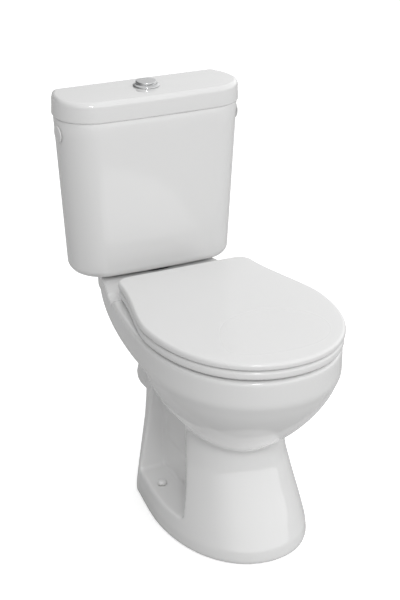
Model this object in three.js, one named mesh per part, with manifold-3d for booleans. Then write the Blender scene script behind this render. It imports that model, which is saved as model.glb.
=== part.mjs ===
// A close coupled toilet: floor-standing pan with a horizontal outlet, dual flush cistern, seat and lid.
// Millimetres, +Z up. The front faces -Y, and x = 0 is the plane of symmetry of the china.
// The origin is on the floor, in the middle of the overall width and depth.

import * as THREE from 'three';
import { mergeVertices } from 'three/addons/utils/BufferGeometryUtils.js';
import Module from 'manifold-3d';

const wasm = await Module();
wasm.setup();

// ---------------------------------------------------------------- driving dimensions

const OVERALL_DEPTH = 681;
const GAP = 0.3; // left between pieces that touch

// heights above the floor
const LEDGE_TOP = 50;
const OUTLET_HEIGHT = 180;
const NECK_TOP = 200;
const PEDESTAL_TOP = 252; // inside the bowl
const DECK_UNDERSIDE = 350;
const BAND_BOTTOM = 355;
const HINGE_FLOOR = 399; // the shallow valley between the deck and the rim
const DECK_TOP = 405;
const RIM_TOP = 411;
const CISTERN_BOTTOM = 409;
const CISTERN_TOP = 732;
const LID_TOP = 773;
const BUTTON_TOP = 784;

// china thicknesses
const PAN_WALL = 12;
const CISTERN_WALL = 9;
const CISTERN_FLOOR = CISTERN_BOTTOM + 12;
const LID_THICKNESS = 10;

// distances out from the wall
const CISTERN_BACK = 8;
const CISTERN_FRONT = 137;
const LID_FRONT = 140;
const COUPLING_OUT = 70; // flush inlet, cistern bolts and water inlet
const BUTTON_OUT = 64;
const DECK_STEP = 188;
const SPIGOT_END = 101;
const PAN_BACK_WALL = 240;
const RECESS_BACK = 276;
const HINGE_OUT = 208;
const SEAT_BACK = 218;

// widths, as distances from the plane of symmetry
const CISTERN_TOP_HALF = 190;
const CISTERN_BOTTOM_HALF = 171;
const LID_HALF = 192.5;
const BOLT_HALF_SPACING = 75;
const HINGE_HALF_SPACING = 77.5;
const FLOOR_SCREW_HALF_SPACING = 103;
const FLOOR_SCREW_OUT = 342;
const TRAP_WALL_HALF = 66;
const FILL_VALVE_X = 132;

// pipes and fittings
const SPIGOT_RADIUS = 51;
const SPIGOT_BORE = 43;
const TRAP_RADIUS = 28;
const FLUSH_TAIL_RADIUS = 30;
const INLET_THREAD_RADIUS = 10.2;
const PLUG_HOLE_RADIUS = 10.5;
const PLUG_HEIGHT = 702;

// seat and lid
const SEAT_BOTTOM = 416;
const SEAT_TOP = 433;
const SEAT_LID_BOTTOM = 435.5;
const SEAT_LID_TOP = 450.5;
const HINGE_HEIGHT = 432;
const HINGE_PIN_RADIUS = 3.5;

// push buttons
const BEZEL_RADIUS = 26.5;
const BUTTON_RADIUS = 21;
const BUTTON_SPLIT = 11; // the half flush button lies behind this line through the bezel

const LOOKS = {
  china: { color: 0xf1f1ef, roughness: 0.12, metalness: 0 },
  seatPlastic: { color: 0xf0f0ee, roughness: 0.2, metalness: 0 },
  chrome: { color: 0xd8d9db, roughness: 0.08, metalness: 1 },
  whitePlastic: { color: 0xe6e6e2, roughness: 0.4, metalness: 0 },
  greyPlastic: { color: 0x9aa0a6, roughness: 0.45, metalness: 0 },
  blackRubber: { color: 0x26262a, roughness: 0.8, metalness: 0 },
  foam: { color: 0x3a3a3e, roughness: 0.95, metalness: 0 },
  steel: { color: 0xb4b6ba, roughness: 0.35, metalness: 1 },
  clearRubber: { color: 0xdadad4, roughness: 0.6, metalness: 0 },
};

// ---------------------------------------------------------------- helpers

const fromWall = (distance) => OVERALL_DEPTH / 2 - distance;
const toilet = new THREE.Group();

// A named piece with its own material, placed in its parent group.
function piece(name, geometry, look, parent = toilet, place = [0, 0, 0]) {
  const mesh = new THREE.Mesh(geometry, new THREE.MeshStandardMaterial(LOOKS[look]));
  mesh.name = name;
  mesh.position.set(...place);
  parent.add(mesh);
  return mesh;
}

// A group standing at a point of the parent, for the fittings that share an axis.
function station(x, y, z, parent = toilet) {
  const group = new THREE.Group();
  group.position.set(x, y, z);
  parent.add(group);
  return group;
}

// A closed geometry as a solid that can be joined and cut.
function solid(geometry) {
  geometry.deleteAttribute('normal');
  geometry.deleteAttribute('uv');
  const welded = mergeVertices(geometry, 1e-4);
  return new wasm.Manifold(new wasm.Mesh({
    numProp: 3,
    vertProperties: new Float32Array(welded.attributes.position.array),
    triVerts: new Uint32Array(welded.index.array),
  }));
}

// The faces of a solid, with the slivers that a cut leaves closed up.
function surface(shape) {
  const { vertProperties, triVerts } = shape.getMesh();
  const raw = new THREE.BufferGeometry();
  raw.setAttribute('position', new THREE.BufferAttribute(vertProperties, 3));
  raw.setIndex(new THREE.BufferAttribute(triVerts, 1));
  const geometry = mergeVertices(raw, 0.02);
  const kept = [];
  for (let start = 0; start < geometry.index.count; start += 3) {
    const [a, b, c] = [0, 1, 2].map((corner) => geometry.index.getX(start + corner));
    if (a !== b && b !== c && c !== a) {
      kept.push(a, b, c);
    }
  }
  geometry.setIndex(kept);
  geometry.computeVertexNormals();
  return geometry;
}

const join = (first, ...others) => others.reduce((whole, part) => whole.add(part), first);
const cut = (first, ...tools) => tools.reduce((rest, tool) => rest.subtract(tool), first);

// A box between two corners.
function block([x0, y0, z0], [x1, y1, z1]) {
  const geometry = new THREE.BoxGeometry(x1 - x0, y1 - y0, z1 - z0);
  return geometry.translate((x0 + x1) / 2, (y0 + y1) / 2, (z0 + z1) / 2);
}

// An upright cylinder between two heights.
function post(radius, low, high, x = 0, y = 0, sides = 16) {
  const geometry = new THREE.CylinderGeometry(radius, radius, high - low, sides);
  return geometry.rotateX(Math.PI / 2).translate(x, y, (low + high) / 2);
}

// A cylinder along x.
function axle(radius, x0, x1, y, z, sides = 16) {
  const geometry = new THREE.CylinderGeometry(radius, radius, x1 - x0, sides);
  return geometry.rotateZ(-Math.PI / 2).translate((x0 + x1) / 2, y, z);
}

// A turned piece: radius and height pairs, listed with the material on the left.
function turned(pairs, sides = 20) {
  const profile = pairs.map(([radius, height]) => new THREE.Vector2(radius, height));
  return new THREE.LatheGeometry(profile, sides).rotateX(Math.PI / 2);
}

// A washer, gasket or tube: a turned ring with a rectangular section.
function ring(inner, outer, low, high, sides = 20) {
  return turned([[inner, low], [outer, low], [outer, high], [inner, high], [inner, low]], sides);
}

// An outline in the yz plane, given as distances from the wall and heights, extended along x.
function extendedAlongX(corners, x0, x1) {
  const shape = new THREE.Shape(corners.map(([out, height]) => new THREE.Vector2(fromWall(out), height)));
  const geometry = new THREE.ExtrudeGeometry(shape, { depth: x1 - x0, bevelEnabled: false });
  const axes = new THREE.Matrix4().makeBasis(
    new THREE.Vector3(0, 1, 0),
    new THREE.Vector3(0, 0, 1),
    new THREE.Vector3(1, 0, 0),
  );
  return geometry.applyMatrix4(axes).translate(x0, 0, 0);
}

// The right-hand half of a plan, from the front centre to the back centre, made into a closed outline.
function mirrored(path, divisions) {
  const right = path.getPoints(divisions);
  const left = right.slice(1, -1).reverse().map((point) => new THREE.Vector2(-point.x, point.y));
  return [...right, ...left];
}

// Moves every point of an outline inwards by the same amount.
function inset(outline, amount) {
  return outline.map((point, index) => {
    const before = outline.at(index - 1);
    const after = outline[(index + 1) % outline.length];
    const along = after.clone().sub(before).normalize();
    return new THREE.Vector2(point.x - along.y * amount, point.y + along.x * amount);
  });
}

// A solid with one outline per height, lowest first. All outlines have the same number of points.
function loft(levels) {
  const sides = levels[0].outline.length;
  const steps = levels.length - 1;
  const geometry = new THREE.CylinderGeometry(1, 1, 1, sides, steps);
  const place = geometry.attributes.position;
  for (let index = 0; index < place.count; index += 1) {
    const { outline, z } = levels[Math.round((place.getY(index) + 0.5) * steps)];
    const turn = Math.atan2(place.getX(index), place.getZ(index)) / (2 * Math.PI);
    const column = (Math.round(turn * sides) + sides) % sides;
    const onAxis = Math.hypot(place.getX(index), place.getZ(index)) < 0.5;
    const middle = new THREE.Vector2(0, (outline[0].y + outline[sides / 2].y) / 2);
    const point = onAxis ? middle : outline[column];
    place.setXYZ(index, point.x, point.y, z);
  }
  return geometry;
}

// Levels that round the foot or the head of a loft with a quarter circle of the given radius.
function rounded(outline, edge, radius, upward, steps = 2) {
  const levels = [];
  for (let step = 0; step <= steps; step += 1) {
    const angle = (step / steps) * (Math.PI / 2);
    const height = upward ? edge - radius + radius * Math.sin(angle) : edge + radius - radius * Math.cos(angle);
    const amount = upward ? radius - radius * Math.cos(angle) : radius - radius * Math.sin(angle);
    levels.push({ z: height, outline: inset(outline, amount) });
  }
  return levels;
}

// An egg-shaped plan with a straight back: front, widest and back are distances from the wall.
function egg({ front, widest, back, half, backHalf, corner, fullness = 0.6, spread = 0.15, divisions = 6 }) {
  const length = front - widest;
  const flank = widest - back - corner;
  const path = new THREE.Path();
  path.moveTo(0, fromWall(front));
  path.bezierCurveTo(half * fullness, fromWall(front), half, fromWall(widest + length * fullness), half, fromWall(widest));
  path.bezierCurveTo(
    half, fromWall(widest - flank * 0.25),
    backHalf + flank * 0.35 * spread, fromWall(back + corner + flank * 0.35),
    backHalf, fromWall(back + corner),
  );
  path.quadraticCurveTo(backHalf, fromWall(back), backHalf - corner, fromWall(back));
  path.lineTo(0, fromWall(back));
  return mirrored(path, divisions);
}

// ---------------------------------------------------------------- pan

const platformPlan = { front: 676, widest: 447, back: 24, half: 179, backHalf: 108, corner: 36, spread: 0.36 };
const footPlan = { front: 613, widest: 402, back: 252, half: 141, backHalf: 127, corner: 26 };
const neckPlan = { front: 538, widest: 402, back: PAN_BACK_WALL, half: 105, backHalf: 96, corner: 20 };

// Rim and deck in one band. A shallow valley for the seat hinges runs across it between the two.
function platform() {
  const plan = egg(platformPlan);
  const band = solid(loft([...rounded(plan, DECK_UNDERSIDE, 8, false), ...rounded(plan, RIM_TOP, 6, true)]));
  const rimStart = HINGE_OUT + 32;
  const aboveDeck = [
    [-10, DECK_TOP], [DECK_STEP, DECK_TOP], [DECK_STEP + 8, HINGE_FLOOR], [rimStart - 18, HINGE_FLOOR],
    [rimStart - 6, RIM_TOP - 2], [rimStart, RIM_TOP + 1], [rimStart, RIM_TOP + 10], [-10, RIM_TOP + 10],
  ];
  return cut(band, solid(extendedAlongX(aboveDeck, -200, 200)));
}

const BOWL_DROP = 200;

// The bowl narrows from the rim band to its bottom with a soft corner.
function bowlShare(height) {
  const drop = (BAND_BOTTOM + 3 - height) / BOWL_DROP;
  return (1 - drop ** 1.4) ** (1 / 1.4);
}

function bowlOutline(height) {
  const share = bowlShare(height);
  const plan = {
    front: 447 + 226 * share,
    widest: 447,
    back: 447 - 237 * share,
    half: 176 * share,
    backHalf: 118 * share,
    corner: 60 * share,
  };
  return egg(plan);
}

function bowl() {
  const heights = [172, 186, 206, 236, 272, 313, BAND_BOTTOM + 3];
  return solid(loft(heights.map((z) => ({ z, outline: bowlOutline(z) }))));
}

function pedestal() {
  const foot = egg(footPlan);
  const neck = egg(neckPlan);
  const between = (share) => foot.map((point, index) => point.clone().lerp(neck[index], share));
  const levels = [
    { z: 0, outline: inset(foot, 2) },
    { z: 4, outline: foot },
    { z: 24, outline: between(0.05) },
    { z: 60, outline: between(0.26) },
    { z: 110, outline: between(0.58) },
    { z: 160, outline: between(0.88) },
    { z: NECK_TOP, outline: neck },
    { z: PEDESTAL_TOP, outline: inset(neck, 1) },
  ];
  return solid(loft(levels));
}

// The core of the column behind the bowl, which holds the trap and carries the deck.
function column() {
  const level = (z, half, back, front) => ({
    z,
    outline: egg({ front, widest: front - 60, back, half, backHalf: half - 4, corner: 16, fullness: 0.9 }),
  });
  return solid(loft([
    level(120, TRAP_WALL_HALF + 1, PAN_BACK_WALL + 5, 421),
    level(224, TRAP_WALL_HALF + 3, PAN_BACK_WALL + 5, 421),
    level(258, 88, PAN_BACK_WALL - 10, 424),
    level(300, 104, 206, 427),
    level(BAND_BOTTOM + 1, 114, 166, 427),
  ]));
}

// A round passage or pipe along the trap, from the bowl over the weir to the outlet.
function trap(radius, stations) {
  const points = stations.map(([out, height]) => new THREE.Vector3(0, fromWall(out), height));
  const circle = new THREE.Shape().absarc(0, 0, radius, 0, 2 * Math.PI);
  const path = new THREE.CatmullRomCurve3(points);
  const options = { steps: 9, curveSegments: 6, bevelEnabled: false, extrudePath: path };
  return solid(new THREE.ExtrudeGeometry(circle, options));
}

const trapRise = [[382, 134], [346, 134], [318, 148], [300, 184], [284, 220], [262, 236]];
const trapFall = [[262, 236], [238, 220], [222, 194], [200, OUTLET_HEIGHT], [170, OUTLET_HEIGHT]];

function outletPipe(radius, start, end) {
  const geometry = new THREE.CylinderGeometry(radius, radius, start - end, 28);
  return solid(geometry.translate(0, fromWall((start + end) / 2), OUTLET_HEIGHT));
}

// Each side of the pedestal is open between the front skirt, the trap and the rear column.
function sideRecess(side) {
  const plan = new THREE.Shape([
    new THREE.Vector2(TRAP_WALL_HALF, fromWall(RECESS_BACK)),
    new THREE.Vector2(200, fromWall(RECESS_BACK)),
    new THREE.Vector2(200, fromWall(560)),
    new THREE.Vector2(110, fromWall(466)),
    new THREE.Vector2(TRAP_WALL_HALF, fromWall(374)),
  ].reverse());
  const geometry = new THREE.ExtrudeGeometry(plan, { depth: 215, bevelEnabled: false });
  const recess = solid(geometry.translate(0, 0, LEDGE_TOP));
  return side > 0 ? recess : recess.mirror([1, 0, 0]);
}

// The hollow that the casting leaves under the pedestal.
function underside() {
  const skirt = solid(loft([
    { z: -1, outline: inset(egg(footPlan), PAN_WALL) },
    { z: LEDGE_TOP - PAN_WALL, outline: inset(egg(footPlan), PAN_WALL + 6) },
  ]));
  const nosePlan = { front: 588, widest: 500, back: 474, half: 106, backHalf: 98, corner: 10 };
  const noseTop = { front: 530, widest: 490, back: 458, half: 68, backHalf: 62, corner: 8 };
  const nose = solid(loft([{ z: 20, outline: egg(nosePlan) }, { z: 150, outline: egg(noseTop) }]));
  const heart = solid(block([-52, fromWall(480), 20], [52, fromWall(264), 88]));
  return join(skirt, nose, heart);
}

// Bowl inside, with a flushing rim that is open along its bottom.
function bowlHollow() {
  const opening = { front: 634, widest: 447, back: 290, half: 116, backHalf: 92, corner: 50 };
  const mouth = egg(opening);
  const lip = inset(mouth, -PAN_WALL);
  const level = (z, front, back, half) => ({
    z,
    outline: egg({ front, widest: (front * 4 + back * 5) / 9, back, half, backHalf: half * 0.72, corner: half * 0.4 }),
  });
  const basin = solid(loft([
    level(106, 396, 338, 24),
    level(112, 402, 334, 30),
    level(160, 432, 336, 42),
    level(200, 496, 334, 62),
    level(236, 566, 326, 96),
    level(272, 616, 300, 126),
    level(313, 646, 268, 150),
    level(350, 656, 258, 160),
    level(360, 657, 256, 161),
  ]));
  const throat = solid(loft([{ z: 355, outline: mouth }, { z: RIM_TOP + 2, outline: mouth }]));
  const channelOutline = egg({ front: 657, widest: 434, back: 256, half: 161, backHalf: 116, corner: 64 });
  const channel = solid(loft([{ z: 358, outline: channelOutline }, { z: RIM_TOP - PAN_WALL, outline: channelOutline }]));
  const hangingLip = solid(loft([{ z: 368, outline: lip }, { z: RIM_TOP + 2, outline: lip }]));
  return join(basin, throat, cut(channel, hangingLip));
}

const INLET_FLOOR = 389;

function pan() {
  const inletY = fromWall(COUPLING_OUT);
  const china = join(
    cut(pedestal(), sideRecess(1), sideRecess(-1)),
    column(),
    bowl(),
    platform(),
    trap(TRAP_RADIUS + PAN_WALL, [[275, 226], ...trapFall.slice(1, -1), [190, OUTLET_HEIGHT]]),
    outletPipe(SPIGOT_RADIUS, PAN_BACK_WALL + 20, SPIGOT_END),
  );
  const holes = [
    solid(post(48, INLET_FLOOR, DECK_TOP + 1, 0, inletY, 28)),
    solid(block([-28, fromWall(265), INLET_FLOOR - 22], [28, fromWall(COUPLING_OUT - 25), INLET_FLOOR + 1])),
  ];
  for (const side of [-1, 1]) {
    holes.push(solid(post(7, 330, DECK_TOP + 1, side * BOLT_HALF_SPACING, inletY)));
    holes.push(solid(post(8, HINGE_FLOOR - 37, HINGE_FLOOR + 1, side * HINGE_HALF_SPACING, fromWall(HINGE_OUT))));
    holes.push(solid(post(6, 20, LEDGE_TOP + 1, side * FLOOR_SCREW_HALF_SPACING, fromWall(FLOOR_SCREW_OUT))));
  }
  return cut(
    china,
    underside(),
    bowlHollow(),
    trap(TRAP_RADIUS, trapRise),
    trap(TRAP_RADIUS, trapFall),
    outletPipe(SPIGOT_BORE, 204, SPIGOT_END - 1),
    ...holes,
  );
}

piece('pan', surface(pan()), 'china');

// ---------------------------------------------------------------- cistern and its lid

// A D-shaped plan: straight back, long front corners and a slightly bowed front.
function tankPlan({ half, back, front, backTaper, frontCorner, bow, divisions = 3 }) {
  const path = new THREE.Path();
  const flat = half - frontCorner;
  const drop = bow * (flat / half) ** 2;
  const side = front - frontCorner - bow;
  const backHalf = half - backTaper;
  path.moveTo(0, fromWall(front));
  path.quadraticCurveTo(flat / 2, fromWall(front), flat, fromWall(front - drop));
  path.bezierCurveTo(
    half - frontCorner * 0.42, fromWall(front - drop * 2),
    half, fromWall(side + frontCorner * 0.5),
    half, fromWall(side),
  );
  path.quadraticCurveTo(half, fromWall((side + back) / 2), backHalf + 3, fromWall(back + 17));
  path.quadraticCurveTo(backHalf, fromWall(back), backHalf - 17, fromWall(back));
  path.lineTo(0, fromWall(back));
  return mirrored(path, divisions);
}

function cisternPlan(height) {
  const share = (height - CISTERN_BOTTOM) / (CISTERN_TOP - CISTERN_BOTTOM);
  return tankPlan({
    half: CISTERN_BOTTOM_HALF + (CISTERN_TOP_HALF - CISTERN_BOTTOM_HALF) * share,
    back: CISTERN_BACK,
    front: CISTERN_FRONT,
    backTaper: 13,
    frontCorner: 62,
    bow: 7,
  });
}

// Half the cistern's width at a height, on its widest line.
function cisternHalf(height) {
  const share = (height - CISTERN_BOTTOM) / (CISTERN_TOP - CISTERN_BOTTOM);
  return CISTERN_BOTTOM_HALF + (CISTERN_TOP_HALF - CISTERN_BOTTOM_HALF) * share;
}

function cistern() {
  const shell = solid(loft([
    ...rounded(cisternPlan(CISTERN_BOTTOM), CISTERN_BOTTOM, 18, false, 3),
    { z: CISTERN_TOP - GAP, outline: cisternPlan(CISTERN_TOP) },
  ]));
  const water = solid(loft([
    { z: CISTERN_FLOOR, outline: inset(cisternPlan(CISTERN_FLOOR), CISTERN_WALL + 3) },
    { z: CISTERN_FLOOR + 6, outline: inset(cisternPlan(CISTERN_FLOOR), CISTERN_WALL) },
    { z: CISTERN_TOP + 1, outline: inset(cisternPlan(CISTERN_TOP), CISTERN_WALL) },
  ]));
  const y = fromWall(COUPLING_OUT);
  const low = CISTERN_BOTTOM - 1;
  const high = CISTERN_FLOOR + 1;
  const holes = [
    solid(post(FLUSH_TAIL_RADIUS + 2, low, high, 0, y, 14)),
    solid(post(6, low, high, BOLT_HALF_SPACING, y, 8)),
    solid(post(6, low, high, -BOLT_HALF_SPACING, y, 8)),
    solid(post(INLET_THREAD_RADIUS + 1, low, high, FILL_VALVE_X, y, 10)),
    solid(axle(PLUG_HOLE_RADIUS, -200, 200, y, PLUG_HEIGHT, 10)),
  ];
  return cut(shell, water, ...holes);
}

function cisternLid() {
  const plan = tankPlan({ half: LID_HALF, back: 0, front: LID_FRONT, backTaper: 15, frontCorner: 64, bow: 7 });
  const rim = cisternPlan(CISTERN_TOP);
  const slab = solid(loft([
    { z: CISTERN_TOP, outline: inset(plan, 1.5) },
    { z: CISTERN_TOP + 3, outline: plan },
    { z: LID_TOP - 20, outline: inset(plan, 0.8) },
    { z: LID_TOP - 8, outline: inset(plan, 2) },
    { z: LID_TOP - 3, outline: inset(plan, 4) },
    { z: LID_TOP, outline: inset(plan, 9) },
  ]));
  const lip = inset(rim, CISTERN_WALL + 2.5);
  const skirt = solid(loft([{ z: CISTERN_TOP - 9, outline: lip }, { z: CISTERN_TOP + 1, outline: lip }]));
  const hollowPlan = inset(rim, CISTERN_WALL + 9);
  const hollow = solid(loft([
    { z: CISTERN_TOP - 10, outline: hollowPlan },
    { z: LID_TOP - LID_THICKNESS, outline: hollowPlan },
  ]));
  const hole = solid(post(25, CISTERN_TOP, LID_TOP + 1, 0, fromWall(BUTTON_OUT), 28));
  return cut(join(slab, skirt), hollow, hole);
}

// A push-in cap for a water inlet hole that isn't used.
function blankingPlug() {
  const stem = -CISTERN_WALL - 5;
  return turned([
    [0, stem], [8, stem], [9.3, stem + 2], [9.3, GAP], [17, GAP], [17, 2], [15.5, 3], [0, 3.4],
  ], 16);
}

piece('cistern', surface(cistern()), 'china');
piece('cistern_lid', surface(cisternLid()), 'china');

const wallLean = Math.atan2(CISTERN_TOP_HALF - CISTERN_BOTTOM_HALF, CISTERN_TOP - CISTERN_BOTTOM);
for (const [name, side] of [['left', -1], ['right', 1]]) {
  const place = [side * (cisternHalf(PLUG_HEIGHT) + GAP), fromWall(COUPLING_OUT), PLUG_HEIGHT];
  const plug = piece(`blanking_plug_${name}`, blankingPlug(), 'seatPlastic', toilet, place);
  plug.rotation.y = side * (Math.PI / 2 + wallLean);
}

// ---------------------------------------------------------------- push buttons in the lid

const BUTTON_FOOT = BUTTON_TOP - 14;

function bezel() {
  const tail = 757;
  const inner = BUTTON_RADIUS + GAP;
  const seat = LID_TOP + GAP;
  return turned([
    [inner, tail], [24, tail], [24, seat], [BEZEL_RADIUS, seat], [BEZEL_RADIUS, seat + 1.5],
    [BEZEL_RADIUS - 2, seat + 3.5], [inner + 1, seat + 5], [inner, seat + 4.5], [inner, tail],
  ], 28);
}

// One of the two buttons: the part of a disc on one side of the split.
function button(front) {
  const disc = solid(turned([
    [0, BUTTON_FOOT], [BUTTON_RADIUS, BUTTON_FOOT], [BUTTON_RADIUS, BUTTON_TOP - 1.5],
    [BUTTON_RADIUS - 1.5, BUTTON_TOP], [0, BUTTON_TOP],
  ], 28));
  const split = BUTTON_SPLIT;
  const keep = front ? block([-30, -30, 700], [30, split - 0.4, 800]) : block([-30, split + 0.4, 700], [30, 30, 800]);
  return disc.intersect(solid(keep));
}

const lidStation = station(0, fromWall(BUTTON_OUT), 0);
piece('button_bezel', bezel(), 'chrome', lidStation);
piece('bezel_nut', ring(24 + GAP, 31, 753, LID_TOP - LID_THICKNESS - GAP), 'greyPlastic', lidStation);
piece('full_flush_button', surface(button(true)), 'chrome', lidStation);
piece('half_flush_button', surface(button(false)), 'chrome', lidStation);

// ---------------------------------------------------------------- flush valve

const VALVE_SEAT = CISTERN_FLOOR + 9;
const TOWER_TOP = 600;
const ROCKER_HEIGHT = 612;
const ROCKER_PIVOT_X = 2;
const ROCKER_PRONG = 17; // from the valve's axis to each prong
const ROD_X = 17;
const FULL_ROD_OUT = 66;
const HALF_ROD = { x: -8, out: 47.5 };

const valveStation = station(0, fromWall(COUPLING_OUT), 0);

// Threaded tail, valve seat, caged tower and the two ears that carry the rocker.
function flushValveBody() {
  const flange = CISTERN_FLOOR + 3 + GAP;
  const body = solid(turned([
    [24, 394], [FLUSH_TAIL_RADIUS, 394], [FLUSH_TAIL_RADIUS, flange], [42, flange], [42, flange + 4],
    [37, flange + 4], [37, TOWER_TOP], [11.6, TOWER_TOP], [11.6, TOWER_TOP - 3], [34, TOWER_TOP - 3],
    [34, flange + 4], [27, flange + 4], [27, VALVE_SEAT], [24, VALVE_SEAT], [24, 394],
  ], 24));
  const windows = [0, Math.PI / 2].map((turn) => {
    const bar = new THREE.BoxGeometry(100, 30, 46).rotateZ(turn + Math.PI / 4);
    return solid(bar.translate(0, 0, VALVE_SEAT + 28));
  });
  const x0 = ROCKER_PIVOT_X - 6;
  const x1 = ROCKER_PIVOT_X + 6;
  const ears = [-1, 1].map((side) => {
    const [y0, y1] = side > 0 ? [21, 25] : [-25, -21];
    const ear = solid(block([x0, y0, TOWER_TOP - 1], [x1, y1, ROCKER_HEIGHT + 7]));
    const hole = new THREE.CylinderGeometry(2.8, 2.8, 20, 12).translate(ROCKER_PIVOT_X, side * 23, ROCKER_HEIGHT);
    return cut(ear, solid(hole));
  });
  const guide = solid(post(2.5, TOWER_TOP - 5, TOWER_TOP + 1, HALF_ROD.x, COUPLING_OUT - HALF_ROD.out, 12));
  return cut(join(body, ...ears), ...windows, guide);
}

// Overflow pipe with the seal plate at its foot and the lifting bar near its head.
function liftTube() {
  const plate = VALVE_SEAT + 3 + 2 * GAP;
  const pipe = solid(turned([
    [0, plate], [28, plate], [28, plate + 4], [11, plate + 6], [11, 645], [0, 645],
  ]));
  const bar = solid(block([-28, -20, ROCKER_HEIGHT + 3.6], [-20, 20, ROCKER_HEIGHT + 7]));
  const web = solid(block([-26, -7, ROCKER_HEIGHT + 3.6], [-6, 7, ROCKER_HEIGHT + 7]));
  return cut(join(pipe, bar, web), solid(post(8.5, plate - 1, 646)));
}

// The rocker turns the push of the button into the lift of the pipe.
function rocker() {
  const low = ROCKER_HEIGHT - 3;
  const high = ROCKER_HEIGHT + 3;
  const inner = ROCKER_PRONG;
  const outer = ROCKER_PRONG + 3;
  const stub = new THREE.CylinderGeometry(2.5, 2.5, 8, 12);
  return join(
    solid(block([15, -outer, low], [20.5, outer, high])),
    solid(block([-26, inner, low], [16, outer, high])),
    solid(block([-26, -outer, low], [16, -inner, high])),
    solid(stub.clone().translate(ROCKER_PIVOT_X, outer + 1, ROCKER_HEIGHT)),
    solid(stub.clone().translate(ROCKER_PIVOT_X, -outer - 1, ROCKER_HEIGHT)),
  );
}

piece('flush_valve_body', surface(flushValveBody()), 'whitePlastic', valveStation);
piece('lift_tube', surface(liftTube()), 'greyPlastic', valveStation);
piece('valve_seal', ring(22, 29, VALVE_SEAT + GAP, VALVE_SEAT + 3 + GAP), 'blackRubber', valveStation);
piece('rocker', surface(rocker()), 'greyPlastic', valveStation);
piece('flush_valve_washer', ring(30.4, 41, CISTERN_FLOOR + GAP, CISTERN_FLOOR + 3), 'blackRubber', valveStation);
piece('flush_valve_nut', ring(30.4, 40, 397.5, CISTERN_BOTTOM - GAP, 24), 'greyPlastic', valveStation);
piece('coupling_gasket', ring(40.4, 47, INLET_FLOOR + GAP, CISTERN_BOTTOM - GAP, 24), 'foam', valveStation);

const rodTop = BUTTON_FOOT - GAP;
const fullRod = post(1.8, ROCKER_HEIGHT + 3.6, rodTop, ROD_X, COUPLING_OUT - FULL_ROD_OUT, 10);
const halfRod = post(1.8, TOWER_TOP - 12, rodTop, HALF_ROD.x, COUPLING_OUT - HALF_ROD.out, 10);
piece('full_flush_rod', fullRod, 'whitePlastic', valveStation);
piece('half_flush_rod', halfRod, 'whitePlastic', valveStation);

// ---------------------------------------------------------------- cistern bolts

for (const [name, side] of [['left', -1], ['right', 1]]) {
  const bolt = station(side * BOLT_HALF_SPACING, fromWall(COUPLING_OUT), 0);
  const seat = CISTERN_FLOOR + 6 + GAP;
  const washer = DECK_UNDERSIDE - 3;
  const nutTop = washer - GAP;
  const shank = [[0, nutTop - 16], [4, nutTop - 16], [4, seat], [9, seat], [9, seat + 5], [0, seat + 5]];
  piece(`cistern_bolt_${name}`, turned(shank, 12), 'steel', bolt);
  const seal = [
    [4.3, CISTERN_FLOOR + GAP], [12, CISTERN_FLOOR + GAP], [8, seat - GAP], [4.3, seat - GAP],
    [4.3, CISTERN_FLOOR + GAP],
  ];
  piece(`cistern_bolt_seal_${name}`, turned(seal, 16), 'blackRubber', bolt);
  piece(`cistern_bolt_washer_${name}`, ring(4.3, 12, washer, DECK_UNDERSIDE - GAP, 16), 'blackRubber', bolt);
  const wings = solid(block([-17, -2, nutTop - 10], [17, 2, nutTop - 2]));
  const hub = solid(post(8, nutTop - 9, nutTop, 0, 0, 14));
  const nut = cut(join(hub, wings), solid(post(4.3, nutTop - 20, nutTop + 1, 0, 0, 12)));
  piece(`cistern_wing_nut_${name}`, surface(nut), 'whitePlastic', bolt);
}

// ---------------------------------------------------------------- fill valve

const FLOAT_BOTTOM = 540;
const FLOAT_TOP = 590;
const VALVE_HEAD = 632;
const LEVER_HEIGHT = 642;
const LEVER_REACH = 22;

const fillStation = station(FILL_VALVE_X, fromWall(COUPLING_OUT), 0);

function fillValveBody() {
  const flange = CISTERN_FLOOR + 3 + GAP;
  const body = solid(turned([
    [6, 364], [INLET_THREAD_RADIUS, 364], [INLET_THREAD_RADIUS, flange], [16, flange], [16, flange + 5],
    [9, flange + 5], [9, 606], [15, 610], [15, VALVE_HEAD], [0, VALVE_HEAD], [0, 600], [6, 600], [6, 364],
  ], 20));
  const ears = [-1, 1].map((side) => {
    const [y0, y1] = side > 0 ? [4.2, 7] : [-7, -4.2];
    const ear = solid(block([-5, y0, VALVE_HEAD - 1], [5, y1, LEVER_HEIGHT + 4]));
    const hole = new THREE.CylinderGeometry(1.8, 1.8, 8, 10).translate(0, side * 5.5, LEVER_HEIGHT);
    return cut(ear, solid(hole));
  });
  const outletHole = solid(block([-3, 0, 445], [3, 12, 455]));
  return cut(join(body, ...ears), outletHole);
}

// A cup that slides on the valve's column and carries the link to the lever.
const floatCup = [
  [10, FLOAT_BOTTOM], [23, FLOAT_BOTTOM], [24, FLOAT_BOTTOM + 1], [24, FLOAT_TOP], [22, FLOAT_TOP],
  [22, FLOAT_BOTTOM + 2.5], [12, FLOAT_BOTTOM + 2.5], [12, FLOAT_TOP], [10, FLOAT_TOP], [10, FLOAT_BOTTOM],
];

function floatLink() {
  const rod = solid(post(1.5, FLOAT_TOP + GAP, LEVER_HEIGHT + 5, -LEVER_REACH, 0, 10));
  const knob = solid(post(2.6, LEVER_HEIGHT + 4, LEVER_HEIGHT + 6, -LEVER_REACH, 0, 10));
  const foot = solid(block([-LEVER_REACH - 3, -4, FLOAT_TOP + GAP], [-LEVER_REACH + 9, 4, FLOAT_TOP + 3]));
  return join(rod, knob, foot);
}

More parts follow.
